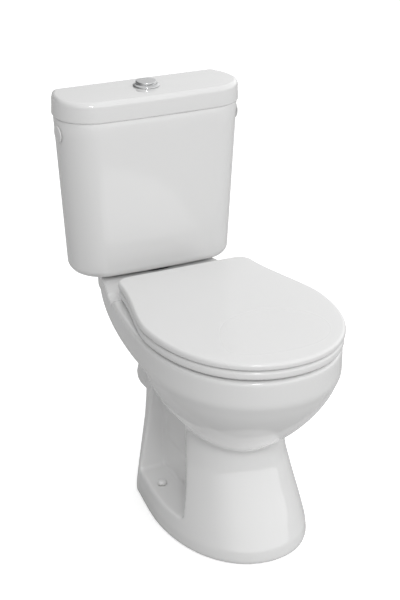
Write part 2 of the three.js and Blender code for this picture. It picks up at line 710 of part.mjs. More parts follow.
function lever() {
  const bar = solid(block([-LEVER_REACH - 9, -3.9, LEVER_HEIGHT - 2.4], [4, 3.9, LEVER_HEIGHT + 2.4]));
  const slot = solid(block([-LEVER_REACH - 6, -2, 600], [-LEVER_REACH + 3.5, 2, 700]));
  const hole = new THREE.CylinderGeometry(1.8, 1.8, 20, 10).translate(0, 0, LEVER_HEIGHT);
  return cut(bar, slot, solid(hole));
}

piece('fill_valve_body', surface(fillValveBody()), 'whitePlastic', fillStation);
piece('fill_valve_washer', ring(10.6, 15, CISTERN_FLOOR + GAP, CISTERN_FLOOR + 3, 16), 'blackRubber', fillStation);
piece('fill_valve_nut', ring(10.6, 17, 394, CISTERN_BOTTOM - GAP, 16), 'whitePlastic', fillStation);
piece('float_cup', turned(floatCup, 16), 'greyPlastic', fillStation);
piece('float_link', surface(floatLink()), 'whitePlastic', fillStation);
piece('float_lever', surface(lever()), 'whitePlastic', fillStation);
const leverPin = new THREE.CylinderGeometry(1.5, 1.5, 15, 10).translate(0, 0, LEVER_HEIGHT);
piece('lever_pin', leverPin, 'steel', fillStation);

// ---------------------------------------------------------------- seat, lid and hinges

const seatPlan = { front: 679, widest: 447, back: SEAT_BACK, half: 180.5, backHalf: 143, corner: 34, spread: 0.1 };
const seatHole = { front: 628, widest: 447, back: 304, half: 108, backHalf: 84, corner: 46 };
const lidPlan = { ...seatPlan, front: OVERALL_DEPTH, half: 182.5, back: SEAT_BACK - 1, backHalf: 144 };

// A knuckle round the hinge pin and the neck that ties it to the seat or the lid.
function knuckle(x0, x1, low, high) {
  const y = fromWall(HINGE_OUT);
  const eye = solid(axle(7.5, x0, x1, y, HINGE_HEIGHT, 20));
  const neck = solid(block([x0, fromWall(SEAT_BACK + 6), low], [x1, y, high]));
  return join(eye, neck);
}

function hingeBore() {
  const bore = (side) => {
    const [x0, x1] = side > 0 ? [56, 98.6] : [-98.6, -56];
    return solid(axle(HINGE_PIN_RADIUS + 0.2, x0, x1, fromWall(HINGE_OUT), HINGE_HEIGHT));
  };
  return join(bore(1), bore(-1));
}

function seat() {
  const outer = egg(seatPlan);
  const ringShape = solid(loft([
    { z: SEAT_BOTTOM, outline: inset(outer, 5) },
    { z: SEAT_BOTTOM + 2, outline: inset(outer, 1.5) },
    { z: SEAT_BOTTOM + 6, outline: outer },
    { z: SEAT_TOP - 6, outline: outer },
    { z: SEAT_TOP - 2, outline: inset(outer, 2) },
    { z: SEAT_TOP, outline: inset(outer, 7) },
  ]));
  const hole = egg(seatHole);
  const opening = solid(loft([
    { z: SEAT_BOTTOM - 1, outline: hole },
    { z: SEAT_TOP - 7, outline: hole },
    { z: SEAT_TOP + 1, outline: inset(hole, -9) },
  ]));
  const eyes = [[84, 98.5], [-98.5, -84]].map(([x0, x1]) => knuckle(x0, x1, SEAT_BOTTOM + 6, HINGE_HEIGHT));
  return cut(join(ringShape, ...eyes), opening, hingeBore());
}

function seatLid() {
  const outer = egg(lidPlan);
  const shell = solid(loft([
    { z: SEAT_LID_BOTTOM, outline: inset(outer, 3) },
    { z: SEAT_LID_BOTTOM + 3, outline: outer },
    { z: SEAT_LID_TOP - 8, outline: outer },
    { z: SEAT_LID_TOP - 5, outline: inset(outer, 1.5) },
    { z: SEAT_LID_TOP - 2.5, outline: inset(outer, 6) },
    { z: SEAT_LID_TOP - 1, outline: inset(outer, 18) },
    { z: SEAT_LID_TOP, outline: inset(outer, 60) },
  ]));
  const eyes = [[56.5, 71], [-71, -56.5]].map(([x0, x1]) => knuckle(x0, x1, HINGE_HEIGHT + 4, HINGE_HEIGHT + 7));
  return cut(join(shell, ...eyes), hingeBore());
}

piece('seat', surface(seat()), 'seatPlastic');
piece('seat_lid', surface(seatLid()), 'seatPlastic');

const seatBumpers = { rear: { x: 124, out: 290 }, front: { x: 118, out: 572 } };
for (const [end, { x, out }] of Object.entries(seatBumpers)) {
  for (const [name, side] of [['left', -1], ['right', 1]]) {
    const place = [side * x, fromWall(out), 0];
    const bumper = post(7, RIM_TOP + GAP, SEAT_BOTTOM - GAP, 0, 0, 14);
    piece(`seat_bumper_${end}_${name}`, bumper, 'clearRubber', toilet, place);
  }
}

for (const [name, side] of [['left', -1], ['right', 1]]) {
  const bumper = post(5, SEAT_TOP + GAP, SEAT_LID_BOTTOM - GAP, side * 116, fromWall(572), 12);
  piece(`lid_bumper_${name}`, bumper, 'clearRubber');

  const hinge = station(side * HINGE_HALF_SPACING, fromWall(HINGE_OUT), 0);
  const upright = solid(block([-6, -7.5, HINGE_FLOOR + GAP], [6, 7.5, HINGE_HEIGHT]));
  const head = solid(axle(7.5, -6, 6, 0, HINGE_HEIGHT, 20));
  const foot = solid(block([-10, -11, HINGE_FLOOR + GAP], [10, 11, HINGE_FLOOR + 4]));
  const pinHole = solid(axle(HINGE_PIN_RADIUS + 0.2, -7, 7, 0, HINGE_HEIGHT));
  const studHole = solid(post(3.3, HINGE_FLOOR - 1, HINGE_FLOOR + 10, 0, 0, 12));
  piece(`hinge_post_${name}`, surface(cut(join(upright, head, foot), pinHole, studHole)), 'chrome', hinge);
  piece(`hinge_pin_${name}`, axle(HINGE_PIN_RADIUS, -21, 21, 0, HINGE_HEIGHT), 'steel', hinge);
  piece(`hinge_stud_${name}`, post(3, HINGE_FLOOR - 34, HINGE_FLOOR + 9, 0, 0, 12), 'steel', hinge);
  piece(`hinge_sleeve_${name}`, ring(3.4, 7.6, HINGE_FLOOR - 31, HINGE_FLOOR - 1, 16), 'blackRubber', hinge);
}

// ---------------------------------------------------------------- floor fixings

for (const [name, side] of [['left', -1], ['right', 1]]) {
  const fixing = station(side * FLOOR_SCREW_HALF_SPACING, fromWall(FLOOR_SCREW_OUT), 0);
  const flange = LEDGE_TOP + GAP;
  const bush = [[3.3, 39], [5.7, 39], [5.7, flange], [9, flange], [9, flange + 1.5], [3.3, flange + 1.5], [3.3, 39]];
  piece(`floor_bush_${name}`, turned(bush, 16), 'whitePlastic', fixing);
  const seatOfHead = flange + 1.5 + GAP;
  const screw = [[0, 0.5], [2, 3], [3, 6], [3, seatOfHead], [6, seatOfHead], [5, seatOfHead + 2.5], [0, seatOfHead + 3]];
  piece(`floor_screw_${name}`, turned(screw, 12), 'steel', fixing);
  const cap = [
    [6.4, seatOfHead], [9, seatOfHead], [8.6, seatOfHead + 3], [6, seatOfHead + 5.5], [0, seatOfHead + 6.4],
    [0, seatOfHead + 4.9], [5.4, seatOfHead + 4], [6.4, seatOfHead + 2.5], [6.4, seatOfHead],
  ];
  piece(`screw_cap_${name}`, turned(cap, 14), 'seatPlastic', fixing);
}

export default toilet;
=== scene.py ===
"""A close coupled toilet: glazed pan and cistern, dual flush button, seat and lid, and the fittings inside.

Sizes are in millimetres in the shaping functions and turn into metres where a mesh is made.
Distances called "out" are measured from the wall behind the toilet.
"""

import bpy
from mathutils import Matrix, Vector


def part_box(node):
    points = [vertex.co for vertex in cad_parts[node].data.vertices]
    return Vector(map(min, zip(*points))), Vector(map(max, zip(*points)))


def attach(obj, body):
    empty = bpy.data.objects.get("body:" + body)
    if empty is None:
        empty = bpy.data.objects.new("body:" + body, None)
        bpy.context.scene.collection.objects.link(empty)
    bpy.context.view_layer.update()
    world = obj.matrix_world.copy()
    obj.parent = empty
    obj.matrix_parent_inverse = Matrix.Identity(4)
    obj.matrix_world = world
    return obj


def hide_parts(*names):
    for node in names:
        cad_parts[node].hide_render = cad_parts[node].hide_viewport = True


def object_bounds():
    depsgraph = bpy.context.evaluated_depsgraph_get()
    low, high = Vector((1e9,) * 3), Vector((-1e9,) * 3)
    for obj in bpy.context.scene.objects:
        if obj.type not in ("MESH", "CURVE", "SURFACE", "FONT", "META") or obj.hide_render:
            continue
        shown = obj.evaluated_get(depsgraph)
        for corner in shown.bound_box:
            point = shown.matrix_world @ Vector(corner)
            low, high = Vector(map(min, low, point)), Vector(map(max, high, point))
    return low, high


bl_info = {
    "name": "Close Coupled Toilet",
    "version": (1, 0, 0),
    "blender": (4, 5, 0),
    "location": "View3D > Sidebar > Toilet",
    "description": "Builds the visible pieces of a close coupled toilet on its packed frame",
    "category": "Add Mesh",
}

import math

import bmesh
import bpy
import numpy as np
from bpy.props import FloatProperty, FloatVectorProperty, PointerProperty
from mathutils import Matrix, Vector

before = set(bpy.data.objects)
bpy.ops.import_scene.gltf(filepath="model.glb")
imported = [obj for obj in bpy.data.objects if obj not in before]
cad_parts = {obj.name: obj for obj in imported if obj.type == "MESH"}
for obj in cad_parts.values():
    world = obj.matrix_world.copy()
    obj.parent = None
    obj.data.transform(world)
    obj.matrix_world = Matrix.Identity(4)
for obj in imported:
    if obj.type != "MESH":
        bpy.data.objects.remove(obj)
CAD_LOW, CAD_HIGH = [Vector(corner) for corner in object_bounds()]

MM = 0.001
WALL = CAD_HIGH.y / MM
GAP = 0.3
SIDES = (("left", -1), ("right", 1))


# ---------------------------------------------------------------- sizes and colours


def height_of(node, top=True):
    """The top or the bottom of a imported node, in metres."""
    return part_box(node)[1 if top else 0].z


def length(label, description, default):
    return FloatProperty(
        name=label, description=description, default=default, unit="LENGTH", subtype="DISTANCE"
    )


def amount(label, description, default, **limits):
    return FloatProperty(name=label, description=description, default=default, min=0, **limits)


def colour(label, description, default):
    return FloatVectorProperty(
        name=label, description=description, default=default, size=3, min=0, max=1, subtype="COLOR"
    )


class ChinaSettings(bpy.types.PropertyGroup):
    """Sizes and colour of the glazed pan, cistern and cistern lid."""

    rim_top: length("Rim height", "Top of the pan's rim above the floor", height_of("pan"))
    cistern_foot: length("Cistern foot", "Underside of the cistern above floor", height_of("cistern", False))
    cistern_rim: length("Cistern rim", "Top edge of the cistern above the floor", height_of("cistern"))
    lid_top: length("Cistern lid top", "Top of the cistern lid above the floor", height_of("cistern_lid"))
    grid: length("Casting detail", "Spacing of the mesh over the cast pan", 0.003)
    rounding: amount("Casting softness", "Passes that soften its edges", 9)
    glaze: colour("Glaze", "Colour of the fired glaze", (0.72, 0.72, 0.718))
    gloss: amount("Glaze roughness", "Lower is shinier", 0.05, max=1)


class SeatSettings(bpy.types.PropertyGroup):
    """Sizes and colour of the seat and its lid."""

    seat_foot: length("Seat underside", "Underside of the seat above the floor", height_of("seat", False))
    seat_top: length("Seat top", "Top of the seat ring above the floor", 0.433)
    lid_foot: length("Lid underside", "Underside of the seat lid above the floor", 0.4355)
    lid_top: length("Lid top", "Top of the seat lid above the floor", height_of("seat_lid"))
    plastic: colour("Seat plastic", "Colour of the seat and its lid", (0.72, 0.72, 0.718))


class FittingSettings(bpy.types.PropertyGroup):
    """Sizes and colours of the push buttons, hinges and the parts in the cistern."""

    button_radius: length("Button radius", "Radius of the two push buttons together", 0.021)
    button_top: length("Button top", "Top of the push buttons above floor", height_of("full_flush_button"))
    chrome: colour("Chrome", "Tint of the plated parts", (0.58, 0.585, 0.59))
    moulding: colour("Light moulding", "Colour of the light plastic mouldings", (0.78, 0.78, 0.75))
    shade: colour("Dark moulding", "Colour of the grey plastic mouldings", (0.33, 0.36, 0.39))


class StageSettings(bpy.types.PropertyGroup):
    """The floor, the lights and the camera."""

    floor_tone: colour("Floor", "Colour of the studio floor", (0.95, 0.95, 0.95))
    bounce_tone: colour("Bounce", "Colour of the floor as the object reflects it", (0.42, 0.42, 0.42))
    overhead: amount("Overhead light", "Strength of the tent's roof", 0.95)
    bright_side: amount("Bright side", "Strength of the tent at front right", 1.3)
    shaded_side: amount("Shaded side", "Strength of the tent at back left", 0.12)
    strip: amount("Key light", "Power of the small softbox at front left", 10, unit="POWER")
    lens: FloatProperty(name="Lens", description="Focal length of the camera", default=88.4, unit="CAMERA")


# ---------------------------------------------------------------- outlines


def bezier(points, count):
    """Points along a Bezier curve of any degree, without its last point."""
    share = np.linspace(0, 1, count, endpoint=False)[:, None]
    corners = [np.array([point], float) for point in points]
    while len(corners) > 1:
        corners = [a + (b - a) * share for a, b in zip(corners, corners[1:])]
    return corners[0]


def closed_outline(curves, back):
    """The right half of a plan, front to back in (x, out), as a closed outline in (x, y)."""
    right = np.vstack([*curves, [[0, back]]])
    right[:, 1] = WALL - right[:, 1]
    left = right[1:-1][::-1] * (-1, 1)
    return np.vstack([right, left])


def egg(front, widest, back, half, back_half, corner, fullness=0.6, spread=0.15, count=24):
    """An egg-shaped plan with a straight back."""
    nose = front - widest
    flank = widest - back - corner
    shoulder = (back_half + flank * 0.35 * spread, back + corner + flank * 0.35)
    curves = [
        bezier(
            [(0, front), (half * fullness, front), (half, widest + nose * fullness), (half, widest)], count
        ),
        bezier([(half, widest), (half, widest - flank * 0.25), shoulder, (back_half, back + corner)], count),
        bezier([(back_half, back + corner), (back_half, back), (back_half - corner, back)], count // 2),
        bezier([(back_half - corner, back), (0, back)], 6),
    ]
    return closed_outline(curves, back)


def tank_plan(half, back, front, back_taper, corner, bow, count=18):
    """A D-shaped plan: straight back, long front corners and a slightly bowed front."""
    flat = half - corner
    drop = bow * (flat / half) ** 2
    side = front - corner - bow
    rear = half - back_taper
    curves = [
        bezier([(0, front), (flat / 2, front), (flat, front - drop)], count),
        bezier(
            [
                (flat, front - drop), (half - corner * 0.42, front - drop * 2), (half, side + corner * 0.5),
                (half, side),
            ],
            count,
        ),
        bezier([(half, side), (half, (side + back) / 2), (rear + 3, back + 17)], count // 2),
        bezier([(rear + 3, back + 17), (rear, back), (rear - 17, back)], count // 2),
        bezier([(rear - 17, back), (0, back)], 6),
    ]
    return closed_outline(curves, back)


def inset(outline, amount):
    """Every point moved inwards, square to the outline."""
    along = np.roll(outline, -1, axis=0) - np.roll(outline, 1, axis=0)
    along /= np.linalg.norm(along, axis=1)[:, None]
    return outline + np.column_stack([-along[:, 1], along[:, 0]]) * amount


def shrunk(outline, amount):
    """The outline scaled about its middle until its sides have come in by the amount."""
    middle = (outline.max(0) + outline.min(0)) / 2
    reach = (outline.max(0) - outline.min(0)) / 2
    return middle + (outline - middle) * (1 - amount / reach)


def rounded(outline, edge, radius, upward, steps=6):
    """Levels that round the foot or the head of a loft with a quarter circle."""
    levels = []
    for angle in np.linspace(0, math.pi / 2, steps + 1):
        across, along = radius * math.cos(angle), radius * math.sin(angle)
        if upward:
            levels.append((edge - radius + along, inset(outline, radius * (1 - math.cos(angle)))))
        else:
            levels.append((edge + radius - across, inset(outline, radius * (1 - math.sin(angle)))))
    return levels


# ---------------------------------------------------------------- solids


def new_object(name, points, faces):
    """A mesh object from points in millimetres."""
    mesh = bpy.data.meshes.new(name)
    mesh.from_pydata([tuple(point) for point in np.asarray(points, float) * MM], [], faces)
    mesh.update()
    made = bpy.data.objects.new(name, mesh)
    bpy.context.scene.collection.objects.link(made)
    return made


def loft(levels, name="loft"):
    """A closed solid through one outline per height, lowest first."""
    rings = [np.column_stack([outline, np.full(len(outline), z)]) for z, outline in levels]
    count = len(rings[0])
    faces = [tuple(range(count))[::-1]]
    for low in range(0, count * (len(rings) - 1), count):
        for index in range(count):
            after = (index + 1) % count
            faces.append((low + index, low + after, low + count + after, low + count + index))
    faces.append(tuple(range(count * (len(rings) - 1), count * len(rings))))
    return new_object(name, np.vstack(rings), faces)


def turned(profile, name="turned", sides=72):
    """A turned piece from (radius, height) pairs, listed with the material on the left."""
    looped = profile[0] == profile[-1]
    stops = profile[:-1] if looped else profile
    points, rings = [], []
    for radius, height in stops:
        ring = range(len(points), len(points) + (sides if radius > 0 else 1))
        rings.append(ring)
        for index in range(len(ring)):
            turn = 2 * math.pi * index / sides
            points.append((radius * math.cos(turn), radius * math.sin(turn), height))
    faces = []
    for lower, upper in zip(rings, rings[1:] + ([rings[0]] if looped else [])):
        for index in range(sides):
            after = (index + 1) % sides
            corners = [lower[index % len(lower)], lower[after % len(lower)]]
            corners += [upper[after % len(upper)], upper[index % len(upper)]]
            face = list(dict.fromkeys(corners))
            if len(face) > 2:
                faces.append(face)
    return new_object(name, points, faces)


def ring_profile(inner, outer, low, high):
    return [(inner, low), (outer, low), (outer, high), (inner, high), (inner, low)]


def block(low, high):
    """A box between two corners."""
    (x0, y0, z0), (x1, y1, z1) = low, high
    square = np.array([(x0, y0), (x1, y0), (x1, y1), (x0, y1)], float)
    return loft([(z0, square), (z1, square)])


def prism(corners, x0, x1):
    """An outline of (out, height) corners extended along x."""
    count = len(corners)
    points = [(x, WALL - out, height) for x in (x0, x1) for out, height in corners]
    faces = [tuple(range(count)), tuple(range(2 * count - 1, count - 1, -1))]
    faces += [(i, i + count, (i + 1) % count + count, (i + 1) % count) for i in range(count)]
    return facing_out(new_object("prism", points, faces))


def facing_out(made):
    """Turns every face of a closed mesh outwards."""
    shell = bmesh.new()
    shell.from_mesh(made.data)
    bmesh.ops.recalc_face_normals(shell, faces=shell.faces)
    shell.to_mesh(made.data)
    shell.free()
    return made


def moved(made, x=0.0, y=0.0, z=0.0, turn=None):
    """Places a solid, in millimetres, after an optional turn about the origin."""
    place = Matrix.Translation(Vector((x, y, z)) * MM)
    made.data.transform(place @ turn if turn else place)
    return made


def lying(made, axis):
    """Turns a piece that stands along z so that it lies along x or y."""
    turn = Matrix.Rotation(math.pi / 2, 4, "Y") if axis == "X" else Matrix.Rotation(-math.pi / 2, 4, "X")
    made.data.transform(turn)
    return made


def axle(radius, half, axis):
    """A cylinder centred on the origin that lies along x or y."""
    return lying(turned([(0, -half), (radius, -half), (radius, half), (0, half)]), axis)


def rod(radius, low, high, x=0.0, y=0.0, sides=64):
    """An upright cylinder."""
    return moved(turned([(0, low), (radius, low), (radius, high), (0, high)], sides=sides), x, y)


def settle(made):
    """Applies the modifiers of a piece to its mesh."""
    bpy.context.view_layer.update()
    graph = bpy.context.evaluated_depsgraph_get()
    mesh = bpy.data.meshes.new_from_object(made.evaluated_get(graph))
    made.modifiers.clear()
    made.data = mesh
    return made


def combine(made, tools, operation, solver="MANIFOLD"):
    """Joins tools to a solid, cuts them from it or keeps what they share, and removes the tools."""
    for tool in tools:
        change = made.modifiers.new(operation.lower(), "BOOLEAN")
        change.operation = operation
        change.solver = solver
        change.object = tool
    settle(made)
    for tool in tools:
        bpy.data.objects.remove(tool)
    return made


def join(made, *tools):
    return combine(made, tools, "UNION")


def cut(made, *tools):
    return combine(made, tools, "DIFFERENCE")


def soften(made, width=0.4, segments=2, angle=35):
    """Rounds the sharp edges of a moulded or machined piece."""
    edge = made.modifiers.new("edge", "BEVEL")
    edge.width = width * MM
    edge.segments = segments
    edge.limit_method = "ANGLE"
    edge.angle_limit = math.radians(angle)
    edge.harden_normals = False
    return settle(made)


def cast(made, spacing, passes):
    """Runs a solid into one skin with soft edges, as slip casting and glazing leave it."""
    skin = made.modifiers.new("skin", "REMESH")
    skin.mode = "VOXEL"
    skin.voxel_size = spacing
    melt = made.modifiers.new("melt", "SMOOTH")
    melt.factor = 0.5
    melt.iterations = int(passes)
    return settle(made)


def melt_crease(made, height, reach, passes):
    """Softens the creases of a cast piece around one height, in millimetres."""
    band = made.vertex_groups.new(name="crease")
    for point in made.data.vertices:
        away = abs(point.co.z / MM - height) / reach
        if away < 1:
            band.add([point.index], 1 - away, "REPLACE")
    melt = made.modifiers.new("melt", "SMOOTH")
    melt.factor = 0.5
    melt.iterations = passes
    melt.vertex_group = "crease"
    settle(made)
    made.vertex_groups.clear()
    return made


def piece(made, name, slot, body, *nodes, angle=30):
    """Names, shades and finishes a piece, and stands it in for its CAD nodes."""
    made.name = name
    made.data.name = name
    made.data.materials.clear()
    made.data.materials.append(FINISHES[slot]())
    made.data.shade_smooth()
    made.data.set_sharp_from_angle(angle=math.radians(angle))
    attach(made, body)
    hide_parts(*nodes)
    return made


# ---------------------------------------------------------------- finishes


def added(nodes, kind, **settings):
    """A new shader node with its inputs set; an underscore stands for the space in an input's name."""
    made = nodes.new(f"ShaderNode{kind}")
    for name, value in settings.items():
        made.inputs[name.replace("_", " ")].default_value = value
    return made


def principled(made):
    return made.node_tree.nodes["Principled BSDF"]


def surface_material(
    name, tone, roughness, grain, depth, metallic=0.0, spread=0.03, stretch=(1, 1, 1), cells=False
):
    """A procedural material: tone and roughness drift over the surface, and a fine grain lifts it."""
    made = bpy.data.materials.get(name)
    if made:
        return made
    made = bpy.data.materials.new(name)
    made.use_nodes = True
    nodes, links = made.node_tree.nodes, made.node_tree.links
    shader = principled(made)
    place = added(nodes, "TexCoord")
    scale = added(nodes, "Mapping", Scale=stretch)
    links.new(place.outputs["Object"], scale.inputs["Vector"])
    drift = added(nodes, "TexNoise", Scale=2, Detail=1)
    links.new(scale.outputs["Vector"], drift.inputs["Vector"])
    tones = added(nodes, "ValToRGB")
    tones.color_ramp.interpolation = "EASE"
    tones.color_ramp.elements[0].color = [channel * (1 - spread) for channel in tone] + [1]
    tones.color_ramp.elements[1].color = [min(1, channel * (1 + spread / 2)) for channel in tone] + [1]
    links.new(drift.outputs["Fac"], tones.inputs["Fac"])
    links.new(tones.outputs["Color"], shader.inputs["Base Color"])
    polish = added(nodes, "MapRange", To_Min=roughness * 0.8, To_Max=roughness * 1.25)
    links.new(drift.outputs["Fac"], polish.inputs["Value"])
    links.new(polish.outputs["Result"], shader.inputs["Roughness"])
    relief = added(nodes, "TexVoronoi" if cells else "TexNoise", Scale=grain)
    links.new(scale.outputs["Vector"], relief.inputs["Vector"])
    bump = added(nodes, "Bump", Strength=0.5, Distance=depth * MM)
    links.new(relief.outputs["Distance" if cells else "Fac"], bump.inputs["Height"])
    links.new(bump.outputs["Normal"], shader.inputs["Normal"])
    shader.inputs["Metallic"].default_value = metallic
    return made


def coated(made, weight, roughness):
    """Gives a material a clear coat."""
    coat = principled(made).inputs
    coat["Coat Weight"].default_value = weight
    coat["Coat Roughness"].default_value = roughness
    return made


def glaze():
    china = bpy.context.scene.toilet_china
    made = surface_material("fired_glaze", china.glaze, china.gloss * 2, 22, 0.01, spread=0.004)
    return coated(made, 0.8, china.gloss)


def seat_plastic():
    tone = bpy.context.scene.toilet_seat.plastic
    return coated(surface_material("moulded_seat_plastic", tone, 0.28, 140, 0.01, spread=0.004), 0.6, 0.1)


def chrome():
    tone = bpy.context.scene.toilet_fittings.chrome
    return surface_material("polished_chrome", tone, 0.07, 60, 0.01, metallic=1, spread=0.04)


def light_moulding():
    tone = bpy.context.scene.toilet_fittings.moulding
    return surface_material("light_moulding", tone, 0.42, 900, 0.05)


def grey_moulding():
    tone = bpy.context.scene.toilet_fittings.shade
    return surface_material("grey_moulding", tone, 0.45, 900, 0.05, spread=0.06)


def black_rubber():
    return surface_material("moulded_black_rubber", (0.03, 0.03, 0.033), 0.75, 1400, 0.08, spread=0.2)


def foam():
    return surface_material("closed_cell_foam", (0.06, 0.06, 0.065), 0.9, 700, 0.5, spread=0.25, cells=True)


def zinc_plate():
    tone = (0.62, 0.63, 0.65)
    return surface_material("zinc_plate", tone, 0.3, 500, 0.04, metallic=1, spread=0.1, stretch=(1, 1, 6))


def clear_rubber():
    made = surface_material("moulded_clear_rubber", (0.72, 0.72, 0.69), 0.4, 600, 0.03)
    principled(made).inputs["Subsurface Weight"].default_value = 0.4
    principled(made).inputs["Subsurface Scale"].default_value = 0.004
    return made


FINISHES = {
    "china": glaze,
    "seat_plastic": seat_plastic,
    "chrome": chrome,
    "white_plastic": light_moulding,
    "grey_plastic": grey_moulding,
    "black_rubber": black_rubber,
    "foam": foam,
    "steel": zinc_plate,
    "clear_rubber": clear_rubber,
}


# ---------------------------------------------------------------- pan

COUPLING_OUT = 70
INLET_HEIGHT = 702
CISTERN_FOOT = 409
FLARE, FLARE_RISE = 19, 323
BOLT_SIDE = 75
FILL_SIDE = 132
HINGE_SIDE, HINGE_OUT = 77.5, 208
FIXING_SIDE, FIXING_OUT = 103, 342
DECK_UNDERSIDE = 350
BAND_FOOT = 358
HINGE_FLOOR = 399
DECK_TOP = 405
LEDGE_TOP = 50
OUTLET_HEIGHT = 180
CREASES = ((350, 26), (235, 110))
CREASE_PASSES = 60
BOWL_DROP = 200
PAN_BACK = 240
TRAP_RADIUS = 28
TRAP_WALL = 12

FOOT_PLAN = dict(front=613, widest=402, back=252, half=141, back_half=127, corner=26)
NECK_PLAN = dict(front=538, widest=402, back=PAN_BACK, half=105, back_half=96, corner=20)


def band_and_deck(rim_top):
    """Rim and deck in one band, with the shallow valley for the seat hinges across it."""
    plan = egg(676, 447, 24, 179, 108, 36, spread=0.36)
    band = loft(rounded(plan, DECK_UNDERSIDE, 9, False) + rounded(plan, rim_top, 7, True))
    valley = [
        (-10, DECK_TOP), (188, DECK_TOP), (196, HINGE_FLOOR), (222, HINGE_FLOOR), (226, HINGE_FLOOR + 1),
        (234, rim_top - 2), (240, rim_top + 1), (240, rim_top + 10), (-10, rim_top + 10),
    ]
    return cut(band, prism(valley, -200, 200))


def bowl_outside():
    levels = []
    for height in BAND_FOOT - BOWL_DROP * np.linspace(0.93, 0, 22):
        share = (1 - ((BAND_FOOT - height) / BOWL_DROP) ** 1.4) ** (1 / 1.4)
        levels.append(
            (height, egg(447 + 226 * share, 447, 447 - 237 * share, 176 * share, 118 * share, 60 * share))
        )
    return loft(levels)


def pedestal():
    foot, neck = egg(**FOOT_PLAN), egg(**NECK_PLAN)
    shares = np.interp(np.linspace(24, 200, 18), [24, 60, 110, 160, 200], [0.05, 0.26, 0.58, 0.88, 1])
    levels = [(0, inset(foot, 2)), (2, inset(foot, 0.6)), (4, foot)]
    levels += [(z, foot + (neck - foot) * share) for z, share in zip(np.linspace(24, 200, 18), shares)]
    return loft([*levels, (252, inset(neck, 1))])


def rear_column():
    stops = [
        (120, 67, 245, 421), (224, 69, 245, 421), (258, 88, 230, 424), (300, 104, 206, 427),
        (356, 114, 166, 427),
    ]
    levels = []
    for z in np.linspace(120, 356, 20):
        half, back, front = [np.interp(z, [s[0] for s in stops], [s[n] for s in stops]) for n in (1, 2, 3)]
        levels.append((z, egg(front, front - 60, back, half, half - 4, 16, fullness=0.9, count=12)))
    return loft(levels)


def side_recess(side):
    corners = [(66, 276), (200, 276), (200, 560), (110, 466), (66, 374)]
    plan = np.array([(side * x, WALL - out) for x, out in corners])
    return facing_out(loft([(LEDGE_TOP, plan), (LEDGE_TOP + 215, plan)]))


def passage(radius, stations):
    """A round solid along a smooth path of (out, height) stations on the middle plane."""
    path = bpy.data.curves.new("passage", "CURVE")
    path.dimensions = "3D"
    path.bevel_depth = radius * MM
    path.bevel_resolution = 8
    path.use_fill_caps = True
    line = path.splines.new("BEZIER")
    line.bezier_points.add(len(stations) - 1)
    for point, (out, height) in zip(line.bezier_points, stations):
        point.co = Vector((0, WALL - out, height)) * MM
        point.handle_left_type = point.handle_right_type = "AUTO"
    holder = bpy.data.objects.new("passage", path)
    bpy.context.scene.collection.objects.link(holder)
    bpy.context.view_layer.update()
    mesh = bpy.data.meshes.new_from_object(holder.evaluated_get(bpy.context.evaluated_depsgraph_get()))
    bpy.data.objects.remove(holder)
    shell = bmesh.new()
    shell.from_mesh(mesh)
    bmesh.ops.remove_doubles(shell, verts=shell.verts, dist=1e-5)
    bmesh.ops.recalc_face_normals(shell, faces=shell.faces)
    shell.to_mesh(mesh)
    shell.free()
    made = bpy.data.objects.new("passage", mesh)
    bpy.context.scene.collection.objects.link(made)
    return made


def outlet(radius, start, end):
    pipe = lying(turned([(0, -start), (radius, -start), (radius, -end), (0, -end)]), "Y")
    return moved(pipe, y=WALL, z=OUTLET_HEIGHT)


def bowl_inside(rim_top):
    """The basin, the mouth and the flushing rim, which is open along its bottom."""
    stops = np.array([
        (106, 396, 338, 24), (112, 402, 334, 30), (160, 432, 336, 42), (200, 496, 334, 62),
        (236, 566, 326, 96), (272, 616, 300, 126), (313, 646, 268, 150), (350, 656, 258, 160),
        (360, 657, 256, 161),
    ], float)
    levels = []
    for z in np.unique(np.concatenate([stops[:, 0], np.linspace(106, 360, 40)])):
        front, back, half = [np.interp(z, stops[:, 0], stops[:, column]) for column in (1, 2, 3)]
        levels.append((z, egg(front, (front * 4 + back * 5) / 9, back, half, half * 0.72, half * 0.4)))
    mouth = egg(634, 447, 290, 116, 92, 50)
    throat = loft([
        (355, mouth), (rim_top - 5, mouth), (rim_top - 2, inset(mouth, -1.2)), (rim_top + 2, inset(mouth, -5))
    ])
    channel_plan = egg(657, 434, 256, 161, 116, 64)
    channel = loft([(358, channel_plan), (rim_top - TRAP_WALL, channel_plan)])
    lip = inset(mouth, -TRAP_WALL)
    cut(channel, loft([(368, lip), (rim_top + 2, lip)]))
    return [loft(levels), throat, channel]


def foot_hollows():
    foot = egg(**FOOT_PLAN)
    skirt = loft([(-1, shrunk(foot, 12)), (38, shrunk(foot, 18))])
    nose = loft([(20, egg(588, 500, 474, 106, 98, 10)), (150, egg(530, 490, 458, 68, 62, 8))])
    heart = block((-52, WALL - 480, 20), (52, WALL - 264, 88))
    return [skirt, nose, heart]


def fixing_holes():
    y = WALL - COUPLING_OUT
    holes = [rod(48, 389, DECK_TOP + 1, 0, y), block((-28, WALL - 265, 367), (28, WALL - 45, 390))]
    for _, side in SIDES:
        holes.append(rod(7, 330, DECK_TOP + 1, side * BOLT_SIDE, y))
        holes.append(rod(8, HINGE_FLOOR - 37, HINGE_FLOOR + 1, side * HINGE_SIDE, WALL - HINGE_OUT))
        holes.append(rod(6, 20, LEDGE_TOP + 1, side * FIXING_SIDE, WALL - FIXING_OUT))
    return holes


